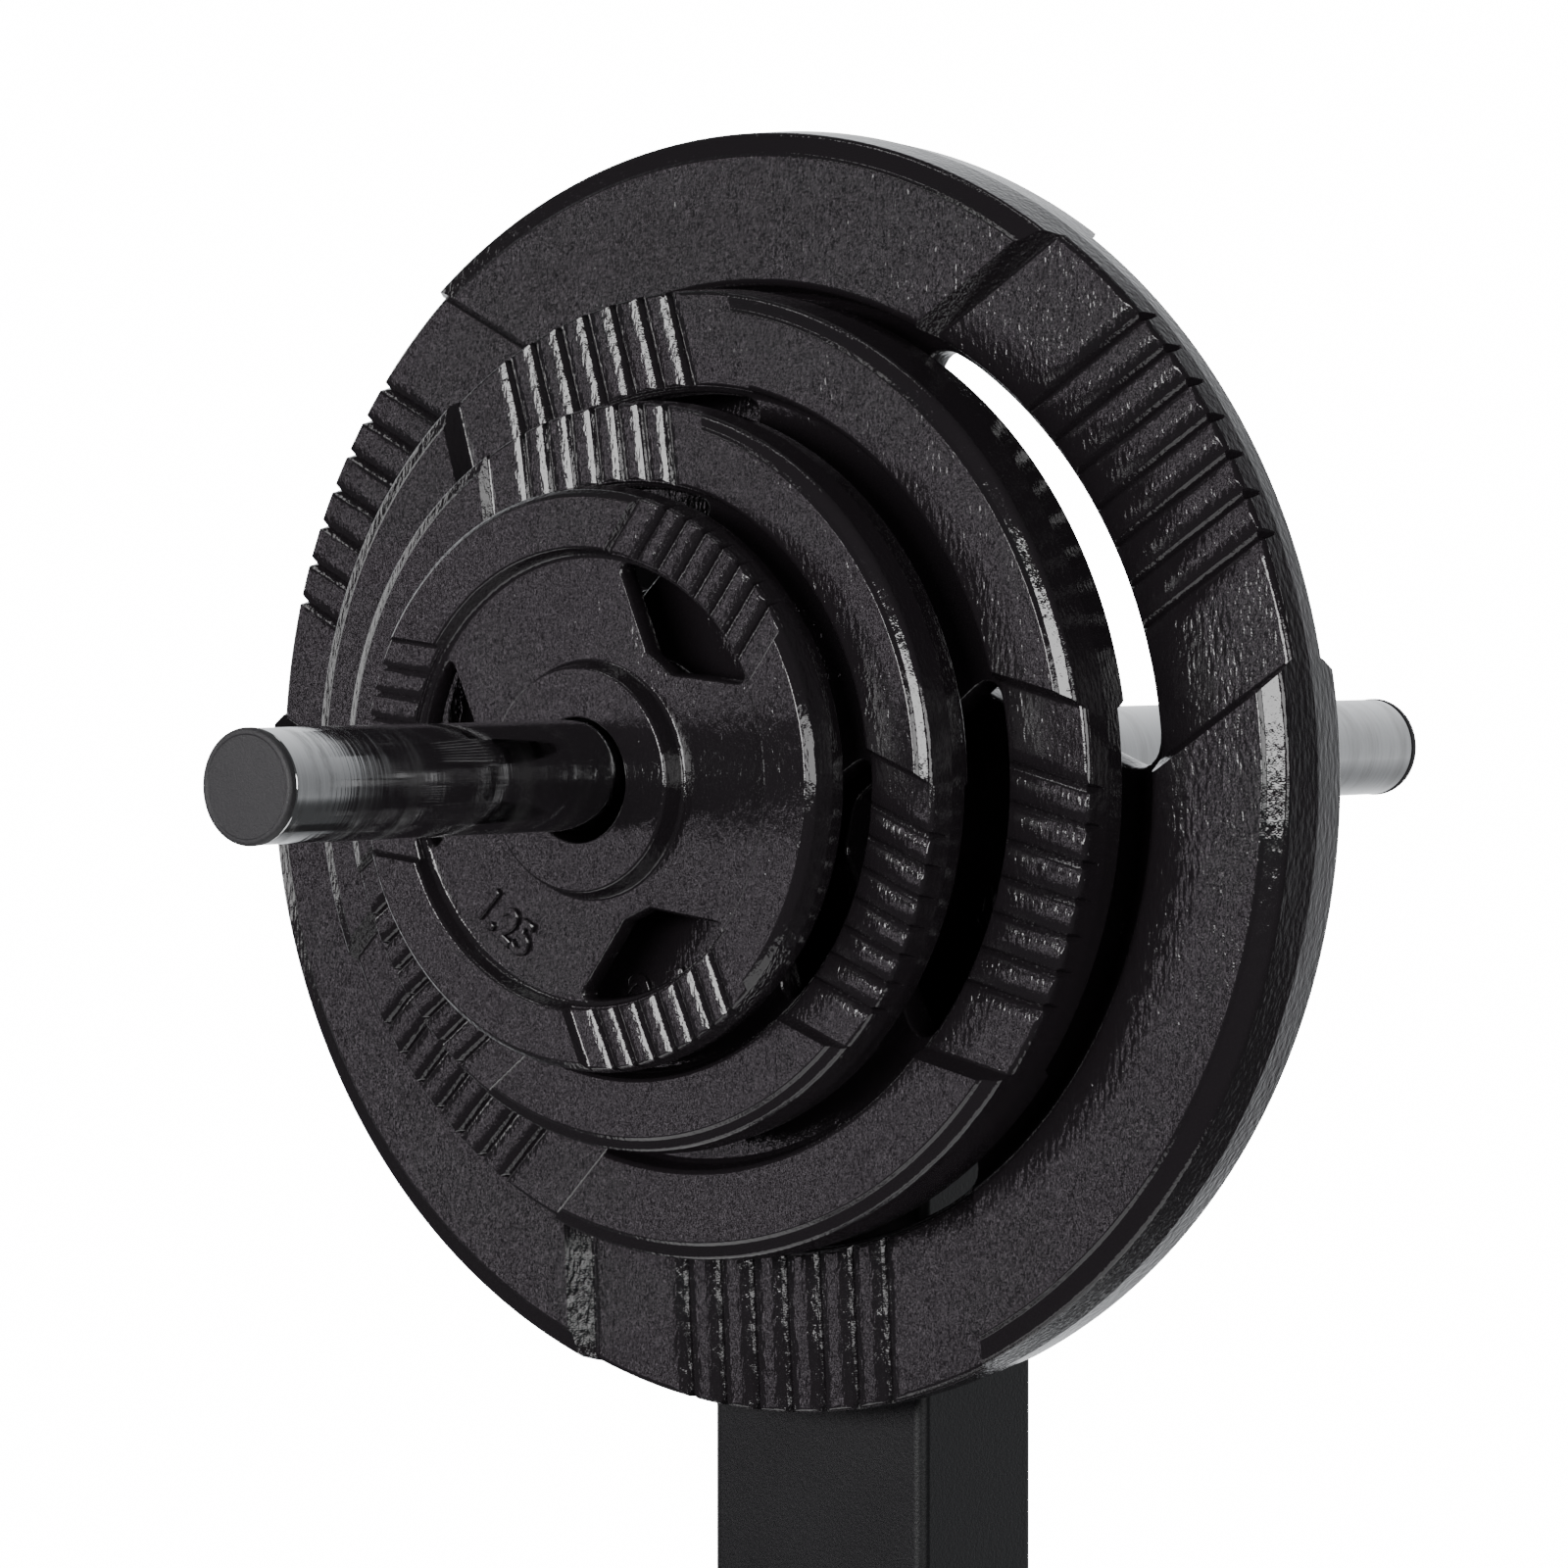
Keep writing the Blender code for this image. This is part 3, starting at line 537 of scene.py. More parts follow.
def enamel(name, cells, waves, depth):
    """Glossy black enamel over that skin; cells and waves are counts a metre."""
    finish, shader = new_finish("black_enamel_" + name, ENAMEL_COLOUR, ENAMEL_GLOSS[1])
    tree = finish.node_tree
    skin = tree.nodes.new("ShaderNodeGroup")
    skin.node_tree = cast_skin
    skin.inputs["Cells"].default_value = cells
    skin.inputs["Waves"].default_value = waves
    peel = add_node(tree, "Bump", Height=skin.outputs["Height"], Strength=1.0, Distance=depth)
    grit = add_node(tree, "Bump", Height=skin.outputs["Specks"], Strength=0.5, Distance=GRIT_DEPTH,
                    Normal=peel.outputs["Normal"])
    tree.links.new(grit.outputs["Normal"], shader.inputs["Normal"])
    gloss = add_node(tree, "MapRange", Value=skin.outputs["Specks"])
    gloss.inputs["To Min"].default_value, gloss.inputs["To Max"].default_value = ENAMEL_GLOSS
    tree.links.new(gloss.outputs["Result"], shader.inputs["Roughness"])
    return finish


# Cells and waves a metre and the depth of the skin, for each plate.
SKINS = {"plate_10kg": (760, 60, 0.00017), "plate_5kg": (820, 80, 0.00015),
         "plate_2_5kg": (880, 90, 0.00014), "plate_1_25kg": (920, 90, 0.00014)}
SMOOTH_WEIGHT = 60

stands = {}
for name, sizes in PLATE_SIZES.items():
    low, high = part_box(name)
    radius, half = (high.x - low.x) / 2 / MM, (high.y - low.y) / 2 / MM
    stand = Matrix.Translation((low + high) / 2) @ quarter_turn("X")
    stands[name] = stand
    turns = [Matrix.Rotation(radians(sizes["grip_angle"] + 120 * k), 4, "Z") for k in range(3)]
    to_rear = Matrix.Rotation(pi, 4, "X")
    casting = turn_casting(name + "_casting", sizes, radius, half)

    front_grip = grip_cutter(sizes, radius, half, REEDS)
    rear_grip = grip_cutter(sizes, radius, half, 0)
    grip_edge = grip_edge_cutter(sizes, radius, half)
    window = window_cutter(sizes)
    cut_away(casting, as_one([copied(front_grip, turn) for turn in turns]
                             + [copied(rear_grip, turn @ to_rear) for turn in turns]))
    cut_away(casting, as_one([copied(grip_edge, turn @ face)
                              for turn in turns for face in (Matrix(), to_rear)]))
    cut_away(casting, as_one([copied(window, turn) for turn in turns]))
    for spent in (front_grip, rear_grip, grip_edge, window):
        bpy.data.objects.remove(spent)
    valleys = []
    for k in range(-(REEDS // 2), REEDS // 2 + 1):
        end = valley_end_cutter(sizes, radius, half, k * sizes["reed_pitch"])
        valleys += [copied(end, turn) for turn in turns]
        bpy.data.objects.remove(end)
    cut_away(casting, as_one(valleys))

    casting.data.transform(stand)
    pick_up(casting)
    bpy.ops.object.shade_smooth_by_angle(angle=radians(38))
    apply_modifier(casting, "WEIGHTED_NORMAL", keep_sharp=True, weight=SMOOTH_WEIGHT)
    casting.data.materials.clear()
    casting.data.materials.append(enamel(name, *SKINS[name]))
    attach(casting, name)
    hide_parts(name)


# Weight marks. Plain numerals cast in relief on one spoke of each web, bent round the hub with
# their heads towards it. They are part of the casting and lie under the same enamel.
MARK_SHARE = 0.31
MARK_FOOT = 0.28
MARK_RELIEF = 1.2
MARK_EDGE = 0.45
MARK_WEIGHT = 0.5
FIGURE_HEIGHT = 0.69

for name, sizes in PLATE_SIZES.items():
    span = sizes["ring"] - sizes["hub"]
    foot = sizes["ring"] - MARK_FOOT * span
    bpy.ops.object.text_add()
    mark = bpy.context.object
    mark.data.body = sizes["mark"]
    mark.data.align_x = "CENTER"
    mark.data.size = MARK_SHARE * span * MM / FIGURE_HEIGHT
    mark.data.offset = (MARK_WEIGHT - MARK_EDGE) * MM
    mark.data.extrude = (MARK_RELIEF - MARK_EDGE) * MM
    mark.data.bevel_depth = MARK_EDGE * MM
    mark.data.bevel_resolution = 2
    bpy.ops.object.convert(target="MESH")
    mark = bpy.context.object
    mark.name = name + "_numerals"
    for vert in mark.data.vertices:
        angle, radius = radians(sizes["mark_angle"]) + vert.co.x / (foot * MM), foot * MM - vert.co.y
        vert.co = (radius * cos(angle), radius * sin(angle), vert.co.z + sizes["web"] / 2 * MM)
    mark.data.transform(stands[name])
    pick_up(mark)
    bpy.ops.object.mode_set(mode="EDIT")
    finish_shell()
    bpy.ops.object.shade_smooth_by_angle(angle=radians(50))
    mark.data.materials.clear()
    mark.data.materials.append(bpy.data.materials["black_enamel_" + name])
    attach(mark, name)


# Pegs. Three chromed steel tubes through the post, faced off at both ends and drilled for a
# cross bolt. Sliding plate bores have scuffed them round and round.
PEG_RADIUS = 0.014
PEG_WALL = 0.002
PEG_EDGE = 0.0005
PEG_BIT = 0.04
LOCK_HOLE = 0.0043
LEVELS = ("lower", "middle", "top")
CHROME_BRIGHT = (0.64, 0.645, 0.65)
CHROME_WORN = (0.46, 0.46, 0.455)
CHROME_GLOSS = (0.06, 0.24)
HAIR_LINES = (6.0, 900.0, 6.0)
HAIR_DEPTH = 0.00003
WORN_RINGS = (25.0, 110.0, 25.0)


def turned_section(name, corners, steps):
    """A solid of revolution round local Z; each corner is a radius, a height and a fillet."""
    points = [(radius, 0, height) for radius, height, fillet in corners]
    model = draw_outline(name, points)
    for point, (radius, height, fillet) in zip(points, corners):
        if fillet:
            round_corner(point, fillet, 3)
    turn_on_lathe(steps)
    return model


def drill(piece, radius, length, places):
    """Drills round holes; each place moves and turns a bit that stands along local Z."""
    bits = []
    for place in places:
        bpy.ops.mesh.primitive_cylinder_add(vertices=40, radius=radius, depth=length)
        bpy.context.object.data.transform(place)
        bits.append(bpy.context.object)
    cut_away(piece, as_one(bits))


def middle_of(node):
    """The middle of a node's box."""
    low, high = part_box(node)
    return (low + high) / 2


def fit(model, node, kind, place, finish, smooth=32):
    """Puts a copy of a modelled piece where the tree has it, in place of its plain solid."""
    piece = copied(model, place)
    piece.name = node + "_" + kind
    pick_up(piece)
    bpy.ops.object.shade_smooth_by_angle(angle=radians(smooth))
    apply_modifier(piece, "WEIGHTED_NORMAL", keep_sharp=True, weight=SMOOTH_WEIGHT)
    piece.data.materials.clear()
    piece.data.materials.append(finish)
    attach(piece, "tree")
    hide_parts(node)
    return piece


def surface_grain_group():
    """Fine grain for bump, and broad soft patches for colour and gloss."""
    group = bpy.data.node_groups.new("surface_grain", "ShaderNodeTree")
    for label, value in (("Grain", 1500.0), ("Patches", 30.0)):
        socket = group.interface.new_socket(label, in_out="INPUT", socket_type="NodeSocketFloat")
        socket.default_value = value
    for label in ("Height", "Cloud"):
        group.interface.new_socket(label, in_out="OUTPUT", socket_type="NodeSocketFloat")
    given, result = group.nodes.new("NodeGroupInput"), group.nodes.new("NodeGroupOutput")
    place = add_node(group, "TexCoord").outputs["Object"]
    grain = add_node(group, "TexNoise", Vector=place, Scale=given.outputs["Grain"], Detail=2.0,
                     Roughness=0.6)
    cloud = add_node(group, "TexNoise", Vector=place, Scale=given.outputs["Patches"], Detail=3.0)
    group.links.new(grain.outputs["Fac"], result.inputs["Height"])
    group.links.new(cloud.outputs["Fac"], result.inputs["Cloud"])
    return group


surface_grain = surface_grain_group()


def grained(name, dark, light, gloss, grain, depth, patches=30.0, metallic=0.0):
    """A finish with fine grain; colour and gloss drift between two values over its patches."""
    finish, shader = new_finish(name, dark, gloss[0], metallic)
    tree = finish.node_tree
    skin = tree.nodes.new("ShaderNodeGroup")
    skin.node_tree = surface_grain
    skin.inputs["Grain"].default_value = grain
    skin.inputs["Patches"].default_value = patches
    colour = add_node(tree, "ValToRGB", Fac=skin.outputs["Cloud"])
    colour.color_ramp.elements[0].position, colour.color_ramp.elements[1].position = 0.3, 0.7
    colour.color_ramp.elements[0].color = (*dark, 1)
    colour.color_ramp.elements[1].color = (*light, 1)
    shine = add_node(tree, "MapRange", Value=skin.outputs["Cloud"])
    shine.inputs["To Min"].default_value, shine.inputs["To Max"].default_value = gloss
    relief = add_node(tree, "Bump", Height=skin.outputs["Height"], Strength=1.0, Distance=depth)
    tree.links.new(colour.outputs["Color"], shader.inputs["Base Color"])
    tree.links.new(shine.outputs["Result"], shader.inputs["Roughness"])
    tree.links.new(relief.outputs["Normal"], shader.inputs["Normal"])
    return finish


def scuffed_chrome():
    """Chrome with hair-fine lines round it, and a few broader rings where plates have sat."""
    finish, shader = new_finish("scuffed_chrome", (0.60, 0.61, 0.62), 0.12, 1.0)
    tree = finish.node_tree
    place = add_node(tree, "TexCoord").outputs["Object"]
    along = add_node(tree, "Mapping", Vector=place, Scale=HAIR_LINES)
    hair = add_node(tree, "TexNoise", Vector=along.outputs["Vector"], Scale=1.0, Detail=3.0)
    slow = add_node(tree, "Mapping", Vector=place, Scale=WORN_RINGS)
    ring = add_node(tree, "TexNoise", Vector=slow.outputs["Vector"], Scale=1.0, Detail=4.0,
                    Roughness=0.62)
    worn = add_node(tree, "MapRange", Value=ring.outputs["Fac"])
    worn.inputs["From Min"].default_value, worn.inputs["From Max"].default_value = 0.46, 0.68
    worn.inputs["To Min"].default_value, worn.inputs["To Max"].default_value = CHROME_GLOSS
    colour = add_node(tree, "ValToRGB", Fac=ring.outputs["Fac"])
    colour.color_ramp.elements[0].position, colour.color_ramp.elements[1].position = 0.5, 0.72
    colour.color_ramp.elements[0].color = (*CHROME_BRIGHT, 1)
    colour.color_ramp.elements[1].color = (*CHROME_WORN, 1)
    lines = add_node(tree, "Bump", Height=hair.outputs["Fac"], Strength=0.5, Distance=HAIR_DEPTH)
    tree.links.new(colour.outputs["Color"], shader.inputs["Base Color"])
    tree.links.new(worn.outputs["Result"], shader.inputs["Roughness"])
    tree.links.new(lines.outputs["Normal"], shader.inputs["Normal"])
    return finish


chrome = scuffed_chrome()
low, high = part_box("peg_top")
reach, inside = (high.y - low.y) / 2, PEG_RADIUS - PEG_WALL
peg = turned_section("peg", (
    (inside, reach, PEG_EDGE / 2), (PEG_RADIUS, reach, PEG_EDGE),
    (PEG_RADIUS, -reach, PEG_EDGE), (inside, -reach, PEG_EDGE / 2)), 96)
drill(peg, LOCK_HOLE, PEG_BIT, [quarter_turn("Y")])
for level in LEVELS:
    node = "peg_" + level
    lie = Matrix.Translation(middle_of(node)) @ quarter_turn("X")
    fit(peg, node, "tube", lie, chrome)
bpy.data.objects.remove(peg)


# Peg caps. Injection-moulded black plugs, pushed into both ends of each peg: a flange with a
# rounded lip and a shallow dished face, and a ribbed stem inside the tube.
CAP_LIP = 0.0142
CAP_STEM = 0.0117
CAP_STEM_LENGTH = 0.016
CAP_FLANGE = 0.0022
CAP_DISH = 0.00025
CAP_RIB = 0.0006

plastic = grained("moulded_black_plastic", (0.017, 0.016, 0.018), (0.024, 0.023, 0.025),
                  (0.50, 0.60), 1700.0, 0.00012)
rib, ribs = CAP_STEM_LENGTH / 10, []
for k in range(4):
    start = -rib * (2 * k + 1)
    ribs += [(CAP_STEM - CAP_RIB, start, 0), (CAP_STEM, start - 0.4 * rib, 0),
             (CAP_STEM, start - 0.9 * rib, 0), (CAP_STEM - CAP_RIB, start - 1.3 * rib, 0)]
cap = turned_section("peg_cap", [
    (0.0, CAP_FLANGE - CAP_DISH, 0), (CAP_LIP - 0.0018, CAP_FLANGE - CAP_DISH, 0.0002),
    (CAP_LIP - 0.0015, CAP_FLANGE, 0.0002), (CAP_LIP, CAP_FLANGE, 0.0009), (CAP_LIP, 0.0, 0.0002),
    (CAP_STEM - CAP_RIB, 0.0, 0)] + ribs
    + [(CAP_STEM - 0.0008, -CAP_STEM_LENGTH, 0), (0.0, -CAP_STEM_LENGTH, 0)], 96)
for level in LEVELS:
    for side, sy in (("front", -1), ("rear", 1)):
        node = "peg_cap_" + side + "_" + level
        low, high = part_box(node)
        face = low.y if sy < 0 else high.y
        seat = Vector((0, face - sy * CAP_FLANGE, (low.z + high.z) / 2))
        fit(cap, node, "moulding", Matrix.Translation(seat)
            @ Matrix.Rotation(radians(-90 * sy), 4, "X"), plastic)
bpy.data.objects.remove(cap)


# Post. One welded rectangular tube, 70 by 50 mm, its corners rounded as they leave the mill,
# drilled through for the pegs and their cross bolts, under satin black powder coat.
TUBE_WALL = 0.002
TUBE_CORNER = 0.0032
PEG_HOLE = 0.0143
TUBE_BIT = 0.08
WIDE_BIT = 0.10


def steel_tube(name, width, depth, length):
    """A rectangular steel tube along local Z, centred, with rounded corners and a real wall."""
    x, y, z = width / 2, depth / 2, -length / 2
    corners = [(x, y, z), (-x, y, z), (-x, -y, z), (x, -y, z)]
    tube = draw_outline(name, corners)
    for corner in corners:
        round_corner(corner, TUBE_CORNER, 6)
    fill_outline()
    bpy.ops.mesh.inset(thickness=TUBE_WALL, use_even_offset=True)
    bpy.ops.mesh.delete(type="FACE")
    bpy.ops.mesh.select_all(action="SELECT")
    extrude(0, 0, length)
    finish_shell()
    return tube


powder_coat = grained("satin_black_powder_coat", (0.0040, 0.0040, 0.0048), (0.0055, 0.0055, 0.0064),
                      (0.38, 0.46), 1300.0, 0.00008)
powder_coat.node_tree.nodes["Principled BSDF"].inputs["Specular IOR Level"].default_value = 0.3
low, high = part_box("post")
post = steel_tube("post_tube", high.x - low.x, high.y - low.y, high.z - low.z)
post.data.transform(Matrix.Translation((low + high) / 2))
heights = [middle_of("peg_" + level).z for level in LEVELS]
drill(post, PEG_HOLE, TUBE_BIT, [Matrix.Translation((0, 0, z)) @ quarter_turn("X") for z in heights])
drill(post, LOCK_HOLE, WIDE_BIT, [Matrix.Translation((0, 0, z)) @ quarter_turn("Y") for z in heights])
fit(post, "post", "tube", Matrix(), powder_coat)
bpy.data.objects.remove(post)


# Tube plugs. Moulded black caps in the top of the post and the ends of the foot tubes: a
# flange with rounded corners, a slightly sunk panel, and a spigot that grips inside.
PLUG_FLANGE = 0.004
PLUG_EDGE = ((0.00012, 0.00042), (0.00022, 0.00030), (0.00034, 0.00018), (0.00045, 0.00008))
PLUG_PANEL = 0.0055
PLUG_SINK = 0.0006
SPIGOT_GAP = 0.0004


def tube_plug(name, width, depth, spigot):
    """A plug, its outer face up at local Z = 0."""
    x, y, z = width / 2, depth / 2, -PLUG_FLANGE
    corners = [(x, y, z), (-x, y, z), (-x, -y, z), (x, -y, z)]
    plug = draw_outline(name, corners)
    for corner in corners:
        round_corner(corner, TUBE_CORNER, 6)
    fill_outline()
    if [face for face in bmesh.from_edit_mesh(plug.data).faces][0].normal.z < 0:
        bpy.ops.mesh.flip_normals()
    edge = sum(rise for inset, rise in PLUG_EDGE)
    extrude(0, 0, PLUG_FLANGE - edge)
    for inset, rise in PLUG_EDGE:
        bpy.ops.mesh.inset(thickness=inset, depth=rise, use_even_offset=True)
    extrude(0, 0, 0)
    bpy.ops.transform.resize(value=(1 - 2 * PLUG_PANEL / width, 1 - 2 * PLUG_PANEL / depth, 1),
                             center_override=(0, 0, 0))
    bpy.ops.mesh.inset(thickness=PLUG_SINK, depth=-PLUG_SINK, use_even_offset=True)
    select_where("FACE", lambda face: face.calc_center_median().z < -PLUG_FLANGE * 0.99)
    bpy.ops.mesh.inset(thickness=TUBE_WALL + SPIGOT_GAP, use_even_offset=True)
    extrude(0, 0, -spigot)
    finish_shell()
    return plug


tube_plastic = grained("moulded_tube_plug", (0.015, 0.015, 0.016), (0.021, 0.021, 0.022),
                       (0.46, 0.56), 1500.0, 0.00010)
low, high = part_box("post_top_cap")
plug = tube_plug("post_plug", high.x - low.x, high.y - low.y, high.z - low.z - PLUG_FLANGE)
fit(plug, "post_top_cap", "moulding", Matrix.Translation((0, 0, high.z)), tube_plastic)
bpy.data.objects.remove(plug)
low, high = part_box("foot_tube_plug_front_right")
plug = tube_plug("foot_plug", high.y - low.y, high.z - low.z, high.x - low.x - PLUG_FLANGE)
for side in ("front", "rear"):
    for hand, sx in (("left", -1), ("right", 1)):
        node = "foot_tube_plug_" + side + "_" + hand
        low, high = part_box(node)
        end = Vector((high.x if sx > 0 else low.x, (low.y + high.y) / 2, (low.z + high.z) / 2))
        fit(plug, node, "moulding", Matrix.Translation(end)
            @ Matrix.Rotation(radians(90 * sx), 4, "Y"), tube_plastic)
bpy.data.objects.remove(plug)


# Base frame. A beam of the same tube as the post, an end plate welded to each of its ends,
# and a square foot tube across each end plate, all drilled for bolts and powder coated.
M10_HOLE = 0.0053
BEAM_BOLTS = [(x, y) for x in (-0.020, 0.020) for y in (-0.075, 0.075)]
FOOT_BOLTS = (-0.050, 0.050)
STEM_HOLE = 0.0053
WALL_BIT = 0.006

low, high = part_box("base_beam")
beam = steel_tube("beam", high.x - low.x, high.z - low.z, high.y - low.y)
beam.data.transform(Matrix.Translation((low + high) / 2) @ quarter_turn("X"))
drill(beam, M10_HOLE, TUBE_BIT, [
    Matrix.Translation((x, y, middle_of("base_beam").z)) for x, y in BEAM_BOLTS])
fit(beam, "base_beam", "tube", Matrix(), powder_coat)
bpy.data.objects.remove(beam)

for side in ("front", "rear"):
    node = "foot_tube_" + side
    low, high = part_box(node)
    centre = (low + high) / 2
    tube = steel_tube(node + "_model", high.z - low.z, high.y - low.y, high.x - low.x)
    tube.data.transform(Matrix.Translation(centre) @ quarter_turn("Y"))
    drill(tube, M10_HOLE, TUBE_BIT, [
        Matrix.Translation((x, centre.y, centre.z)) @ quarter_turn("X") for x in FOOT_BOLTS])
    drill(tube, STEM_HOLE, WALL_BIT, [
        Matrix.Translation((middle_of("rubber_foot_%s_%s" % (side, hand)).x, centre.y, low.z))
        for hand in ("left", "right")])
    fit(tube, node, "tube", Matrix(), powder_coat)
    bpy.data.objects.remove(tube)


# Steel plates. End plates of the beam, the plate under the post and the two ribs beside it:
# cut from flat bar, corners rounded and edges dressed before they are welded on and coated.
PLATE_CORNER = 0.004
DRESSED_EDGE = 0.0006
BAR_BIT = 0.02
RIB_NOSE = 0.008
RIB_CORNER = 0.003


def flat_plate(name, low, high, thin):
    """A plate that fills a box, thin along one axis, with rounded corners and dressed edges."""
    a, b = [axis for axis in range(3) if axis != thin]
    corners = []
    for first, second in ((0, 0), (1, 0), (1, 1), (0, 1)):
        corner = Vector(low)
        corner[a] = (low, high)[first][a]
        corner[b] = (low, high)[second][b]
        corners.append(corner)
    plate = draw_outline(name, corners)
    for corner in corners:
        round_corner(corner, PLATE_CORNER, 5)
    fill_outline()
    up = Vector((0, 0, 0))
    up[thin] = high[thin] - low[thin]
    extrude(*up)
    finish_shell()
    return plate


def dress_edges(piece):
    """Takes the edge off every corner."""
    apply_modifier(piece, "BEVEL", width=DRESSED_EDGE, segments=2, limit_method="ANGLE",
                   angle_limit=radians(40))


for side in ("front", "rear"):
    node = "beam_end_plate_" + side
    plate = flat_plate(node + "_model", *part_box(node), 1)
    centre = middle_of(node)
    drill(plate, M10_HOLE, BAR_BIT, [
        Matrix.Translation((x, centre.y, centre.z)) @ quarter_turn("X") for x in FOOT_BOLTS])
    dress_edges(plate)
    fit(plate, node, "bar", Matrix(), powder_coat)
    bpy.data.objects.remove(plate)

plate = flat_plate("foot_plate_model", *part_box("post_foot_plate"), 2)
drill(plate, M10_HOLE, BAR_BIT, [
    Matrix.Translation((x, y, middle_of("post_foot_plate").z)) for x, y in BEAM_BOLTS])
dress_edges(plate)
fit(plate, "post_foot_plate", "bar", Matrix(), powder_coat)
bpy.data.objects.remove(plate)

for side, sy in (("front", -1), ("rear", 1)):
    node = "post_gusset_" + side
    low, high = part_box(node)
    inner, outer = (high.y, low.y) if sy < 0 else (low.y, high.y)
    toe, brow = (low.x, outer, low.z + RIB_NOSE), (low.x, inner + sy * RIB_NOSE, high.z)
    rib = draw_outline(node + "_model", [
        (low.x, inner, low.z), (low.x, outer, low.z), toe, brow, (low.x, inner, high.z)])
    for point in (toe, brow):
        round_corner(point, RIB_CORNER, 5)
    fill_outline()
    extrude(high.x - low.x, 0, 0)
    finish_shell()
    dress_edges(rib)
    fit(rib, node, "rib", Matrix(), powder_coat)
    bpy.data.objects.remove(rib)


# Welds. Fillet beads laid by hand in overlapping drops along the post, its ribs and the ends
# of the beam, coated with the frame.
DROP_STEP = 0.0024
DROP = (0.0021, 0.0030, 0.0021)
BESIDE_RIB = 0.0055

bpy.ops.mesh.primitive_uv_sphere_add(segments=10, ring_count=7, radius=1)
drop = bpy.context.object
drop.data.transform(Matrix.Diagonal((*DROP, 1)))


def weld(name, runs):
    """Lays drops along each run: its start, its end, and the way its face looks."""
    drops = []
    for start, end, outwards in runs:
        start, end, outwards = Vector(start), Vector(end), Vector(outwards).normalized()
        along = (end - start).normalized()
        lay = Matrix((along, outwards.cross(along), outwards)).transposed().to_4x4()
        count = round((end - start).length / DROP_STEP)
        for k in range(count + 1):
            drops.append(copied(drop, Matrix.Translation(start + (end - start) * k / count) @ lay))
    bead = as_one(drops)
    bead.name = name
    bpy.ops.object.shade_smooth_by_angle(angle=radians(60))
    bead.data.materials.append(powder_coat)
    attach(bead, "tree")


low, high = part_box("post")
runs = []
for s in (-1, 1):
    for t in (-1, 1):
        runs.append(((t * BESIDE_RIB, s * high.y, low.z), (t * (high.x - TUBE_CORNER), s * high.y, low.z),
                     (0, s, 1)))
weld("post_foot_weld", runs)
runs = []
for side, s in (("front", -1), ("rear", 1)):
    rib_low, rib_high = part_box("post_gusset_" + side)
    near, far = (rib_high.y, rib_low.y) if s < 0 else (rib_low.y, rib_high.y)
    for t, edge in ((-1, rib_low.x), (1, rib_high.x)):
        runs.append(((edge, near, rib_low.z), (edge, near, rib_high.z), (t, s, 0)))
        runs.append(((edge, near, rib_low.z), (edge, far, rib_low.z), (t, 0, 1)))
weld("gusset_weld", runs)
low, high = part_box("base_beam")
runs = []
for s, end in ((-1, low.y), (1, high.y)):
    for t in (-1, 1):
        runs.append(((t * high.x, end, low.z + TUBE_CORNER), (t * high.x, end, high.z - TUBE_CORNER),
                     (t, -s, 0)))
weld("beam_weld", runs)
bpy.data.objects.remove(drop)


# Bolts and nuts. Black zinc plated hexagon bolts: M10 through the base and M8 across each
# peg, with a domed chamfer on head and nut and a rolled thread on the shank.
THREAD_PITCH = {"M10": 0.0015, "M8": 0.00125}
THREAD_LENGTH = 0.026
THREAD_SHAPE = ((0.61, 0.1), (0.0, 0.45), (0.0, 0.60), (0.61, 0.95))
CHAMFER_FACE = 0.97
OVERCUT = 0.001
# Radius of the shank, width across flats, height of the head and height of the nut.
SIZES = {"M10": (0.005, 0.017, 0.0064, 0.0084), "M8": (0.004, 0.013, 0.0053, 0.0068)}

zinc = grained("black_zinc", (0.035, 0.035, 0.038), (0.060, 0.060, 0.064), (0.28, 0.42),
               900.0, 0.00004, patches=140.0, metallic=0.9)


def hexagon(name, flats, height, both_ends):
    """A hexagon with its corners turned off at 30 degrees, standing on local Z = 0."""
    reach = flats / 2 / cos(radians(30))
    bpy.ops.mesh.primitive_cylinder_add(vertices=6, radius=reach, depth=height,
                                        location=(0, 0, height / 2))
    block = bpy.context.object
    block.name = name
    bpy.ops.object.transform_apply(location=True)
    face, beyond = flats / 2 * CHAMFER_FACE, reach + OVERCUT
    drop_off = (reach - face) * tan(radians(30))
    fall = OVERCUT * tan(radians(30))
    corners = [(0, height, 0), (face, height, 0), (beyond, height - drop_off - fall, 0)]
    if both_ends:
        corners += [(beyond, drop_off + fall, 0), (face, 0, 0)]
    else:
        corners += [(beyond, 0, 0)]
    turned = turned_section("chamfer", corners + [(0, 0, 0)], 48)
    cut_away(block, turned, "INTERSECT")
    return block


def threaded(start, end, radius, pitch):
    """The half section of a rolled thread, from start down to end."""
    turns, line = int((start - end) / pitch), []
    for k in range(turns):
        top = start - k * pitch
        line += [(radius - sunk * pitch, top - along * pitch, 0) for sunk, along in THREAD_SHAPE]
    return line


def hex_bolt(name, size, length):
    """A bolt, the underside of its head at local Z = 0, with a thread on its far end."""
    radius, flats, head, nut = SIZES[size]
    pitch = THREAD_PITCH[size]
    start = -length + THREAD_LENGTH
    shank = turned_section(name + "_shank", [
        (0, head / 2, 0), (radius, head / 2, 0), (radius, start, 0)]
        + threaded(start, -length + pitch, radius, pitch)
        + [(radius - 0.7 * pitch, -length, 0), (0, -length, 0)], 32)
    bolt = hexagon(name, flats, head, False)
    cut_away(bolt, shank, "UNION")
    return bolt


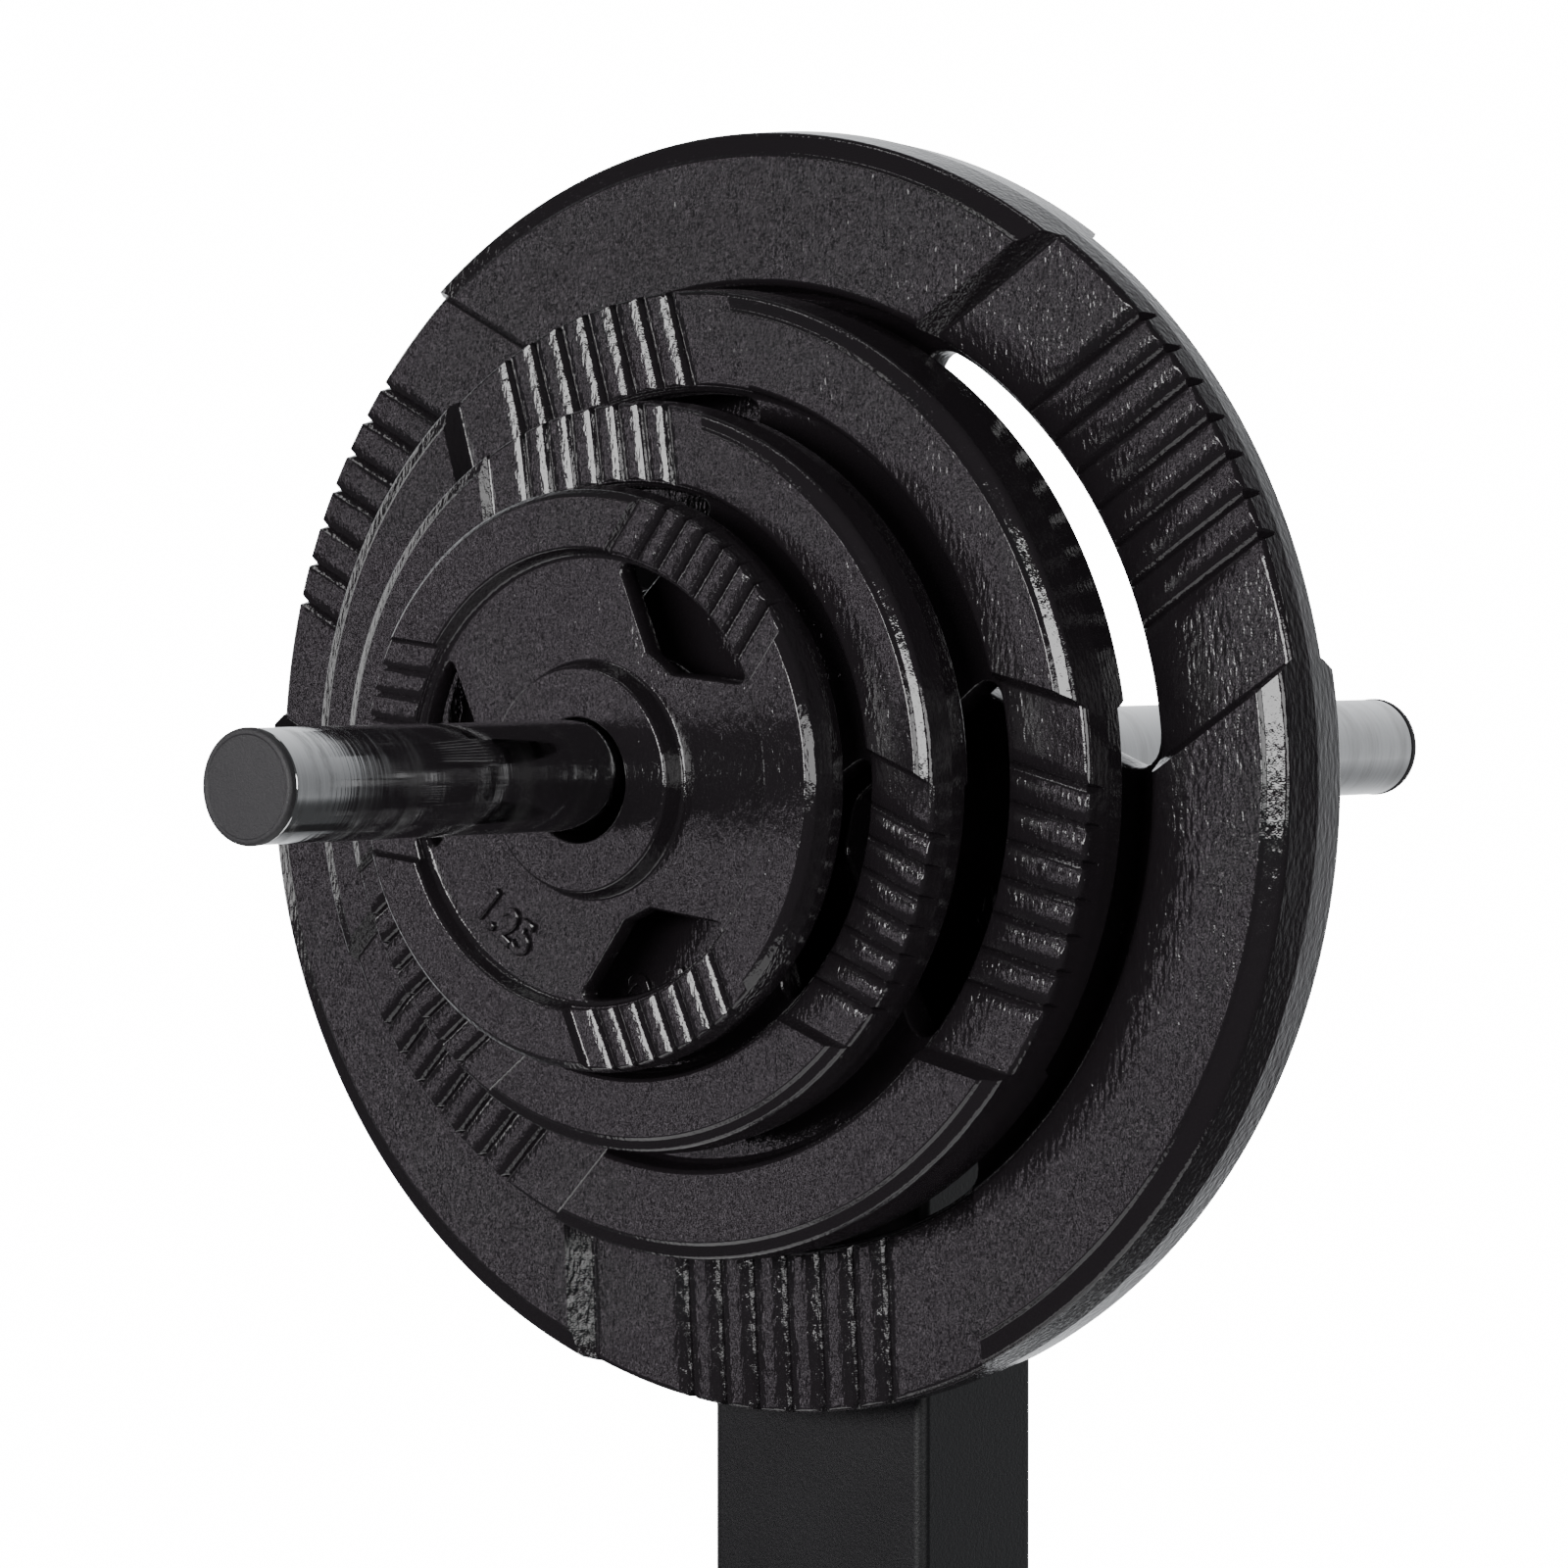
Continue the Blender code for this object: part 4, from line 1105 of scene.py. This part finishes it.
def hex_nut(name, size):
    """A nut chamfered on both faces, with a bore that opens out at both ends."""
    radius, flats, head, nut = SIZES[size]
    made = hexagon(name, flats, nut, True)
    narrow, wide, lead = radius + 0.0003, radius + 0.0009, 0.0004
    bore = turned_section("bore", [
        (0, nut + OVERCUT, 0), (wide, nut + OVERCUT, 0), (narrow, nut - lead, 0), (narrow, lead, 0),
        (wide, -OVERCUT, 0), (0, -OVERCUT, 0)], 32)
    cut_away(made, bore)
    return made


def bolts_in_place(size, pairs):
    """Fits bolts and nuts of one size and length: node names, and the way the head looks."""
    radius, flats, head, nut = SIZES[size]
    nut_model = hex_nut("nut_model", size)
    bolt_model = None
    for bolt_node, nut_node, way in pairs:
        axis = max(range(3), key=lambda i: abs(way[i]))
        low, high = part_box(bolt_node)
        if bolt_model is None:
            bolt_model = hex_bolt("bolt_model", size, high[axis] - low[axis] - head)
        up = "X" if axis == 0 else "Y"
        turn = Vector(way).to_track_quat("Z", up).to_matrix().to_4x4()
        seat = (low + high) / 2
        seat[axis] = high[axis] - head if way[axis] > 0 else low[axis] + head
        fit(bolt_model, bolt_node, "forging", Matrix.Translation(seat) @ turn, zinc, 28)
        low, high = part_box(nut_node)
        seat = (low + high) / 2
        seat[axis] = high[axis] if way[axis] > 0 else low[axis]
        flip = (-Vector(way)).to_track_quat("Z", up).to_matrix().to_4x4()
        fit(nut_model, nut_node, "forging", Matrix.Translation(seat) @ flip, zinc, 28)
    for spent in (nut_model, bolt_model):
        bpy.data.objects.remove(spent)


quarters = [(side, hand) for side in ("front", "rear") for hand in ("left", "right")]
bolts_in_place("M8", [("peg_lock_bolt_" + level, "peg_lock_nut_" + level, (1, 0, 0))
                      for level in LEVELS])
bolts_in_place("M10", [("base_bolt_%s_%s" % quarter, "base_nut_%s_%s" % quarter, (0, 0, 1))
                       for quarter in quarters])
bolts_in_place("M10", [("foot_bolt_%s_%s" % quarter, "foot_nut_%s_%s" % quarter,
                        (0, -1 if quarter[0] == "front" else 1, 0)) for quarter in quarters])


# Rubber feet. Moulded discs, each with a stem pushed up into its foot tube; the sole has a
# rounded edge and three shallow rings for grip.
FOOT_HEIGHT = 0.015
STEM_RADIUS = 0.005
SOLE_RINGS = (0.015, 0.011, 0.007)
RING_DEPTH = 0.0006

rubber = grained("black_rubber", (0.020, 0.020, 0.020), (0.032, 0.032, 0.031), (0.70, 0.85),
                 1100.0, 0.00014, patches=60.0)
low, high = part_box("rubber_foot_front_left")
stem_top = high.z
sole = []
for radius in SOLE_RINGS:
    sole += [(radius + 0.0008, 0.0, 0), (radius + 0.0003, RING_DEPTH, 0),
             (radius - 0.0003, RING_DEPTH, 0), (radius - 0.0008, 0.0, 0)]
rubber_foot = turned_section("rubber_foot", [
    (0, stem_top, 0), (STEM_RADIUS - 0.001, stem_top, 0.0003), (STEM_RADIUS, stem_top - 0.002, 0.0003),
    (STEM_RADIUS, FOOT_HEIGHT, 0), (0.017, FOOT_HEIGHT, 0.0015), (0.020, 0.003, 0.0015),
    (0.018, 0, 0.0008)] + sole + [(0, 0, 0)], 72)
for quarter in quarters:
    node = "rubber_foot_%s_%s" % quarter
    centre = middle_of(node)
    fit(rubber_foot, node, "moulding", Matrix.Translation((centre.x, centre.y, 0)), rubber)
bpy.data.objects.remove(rubber_foot)


low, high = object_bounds()
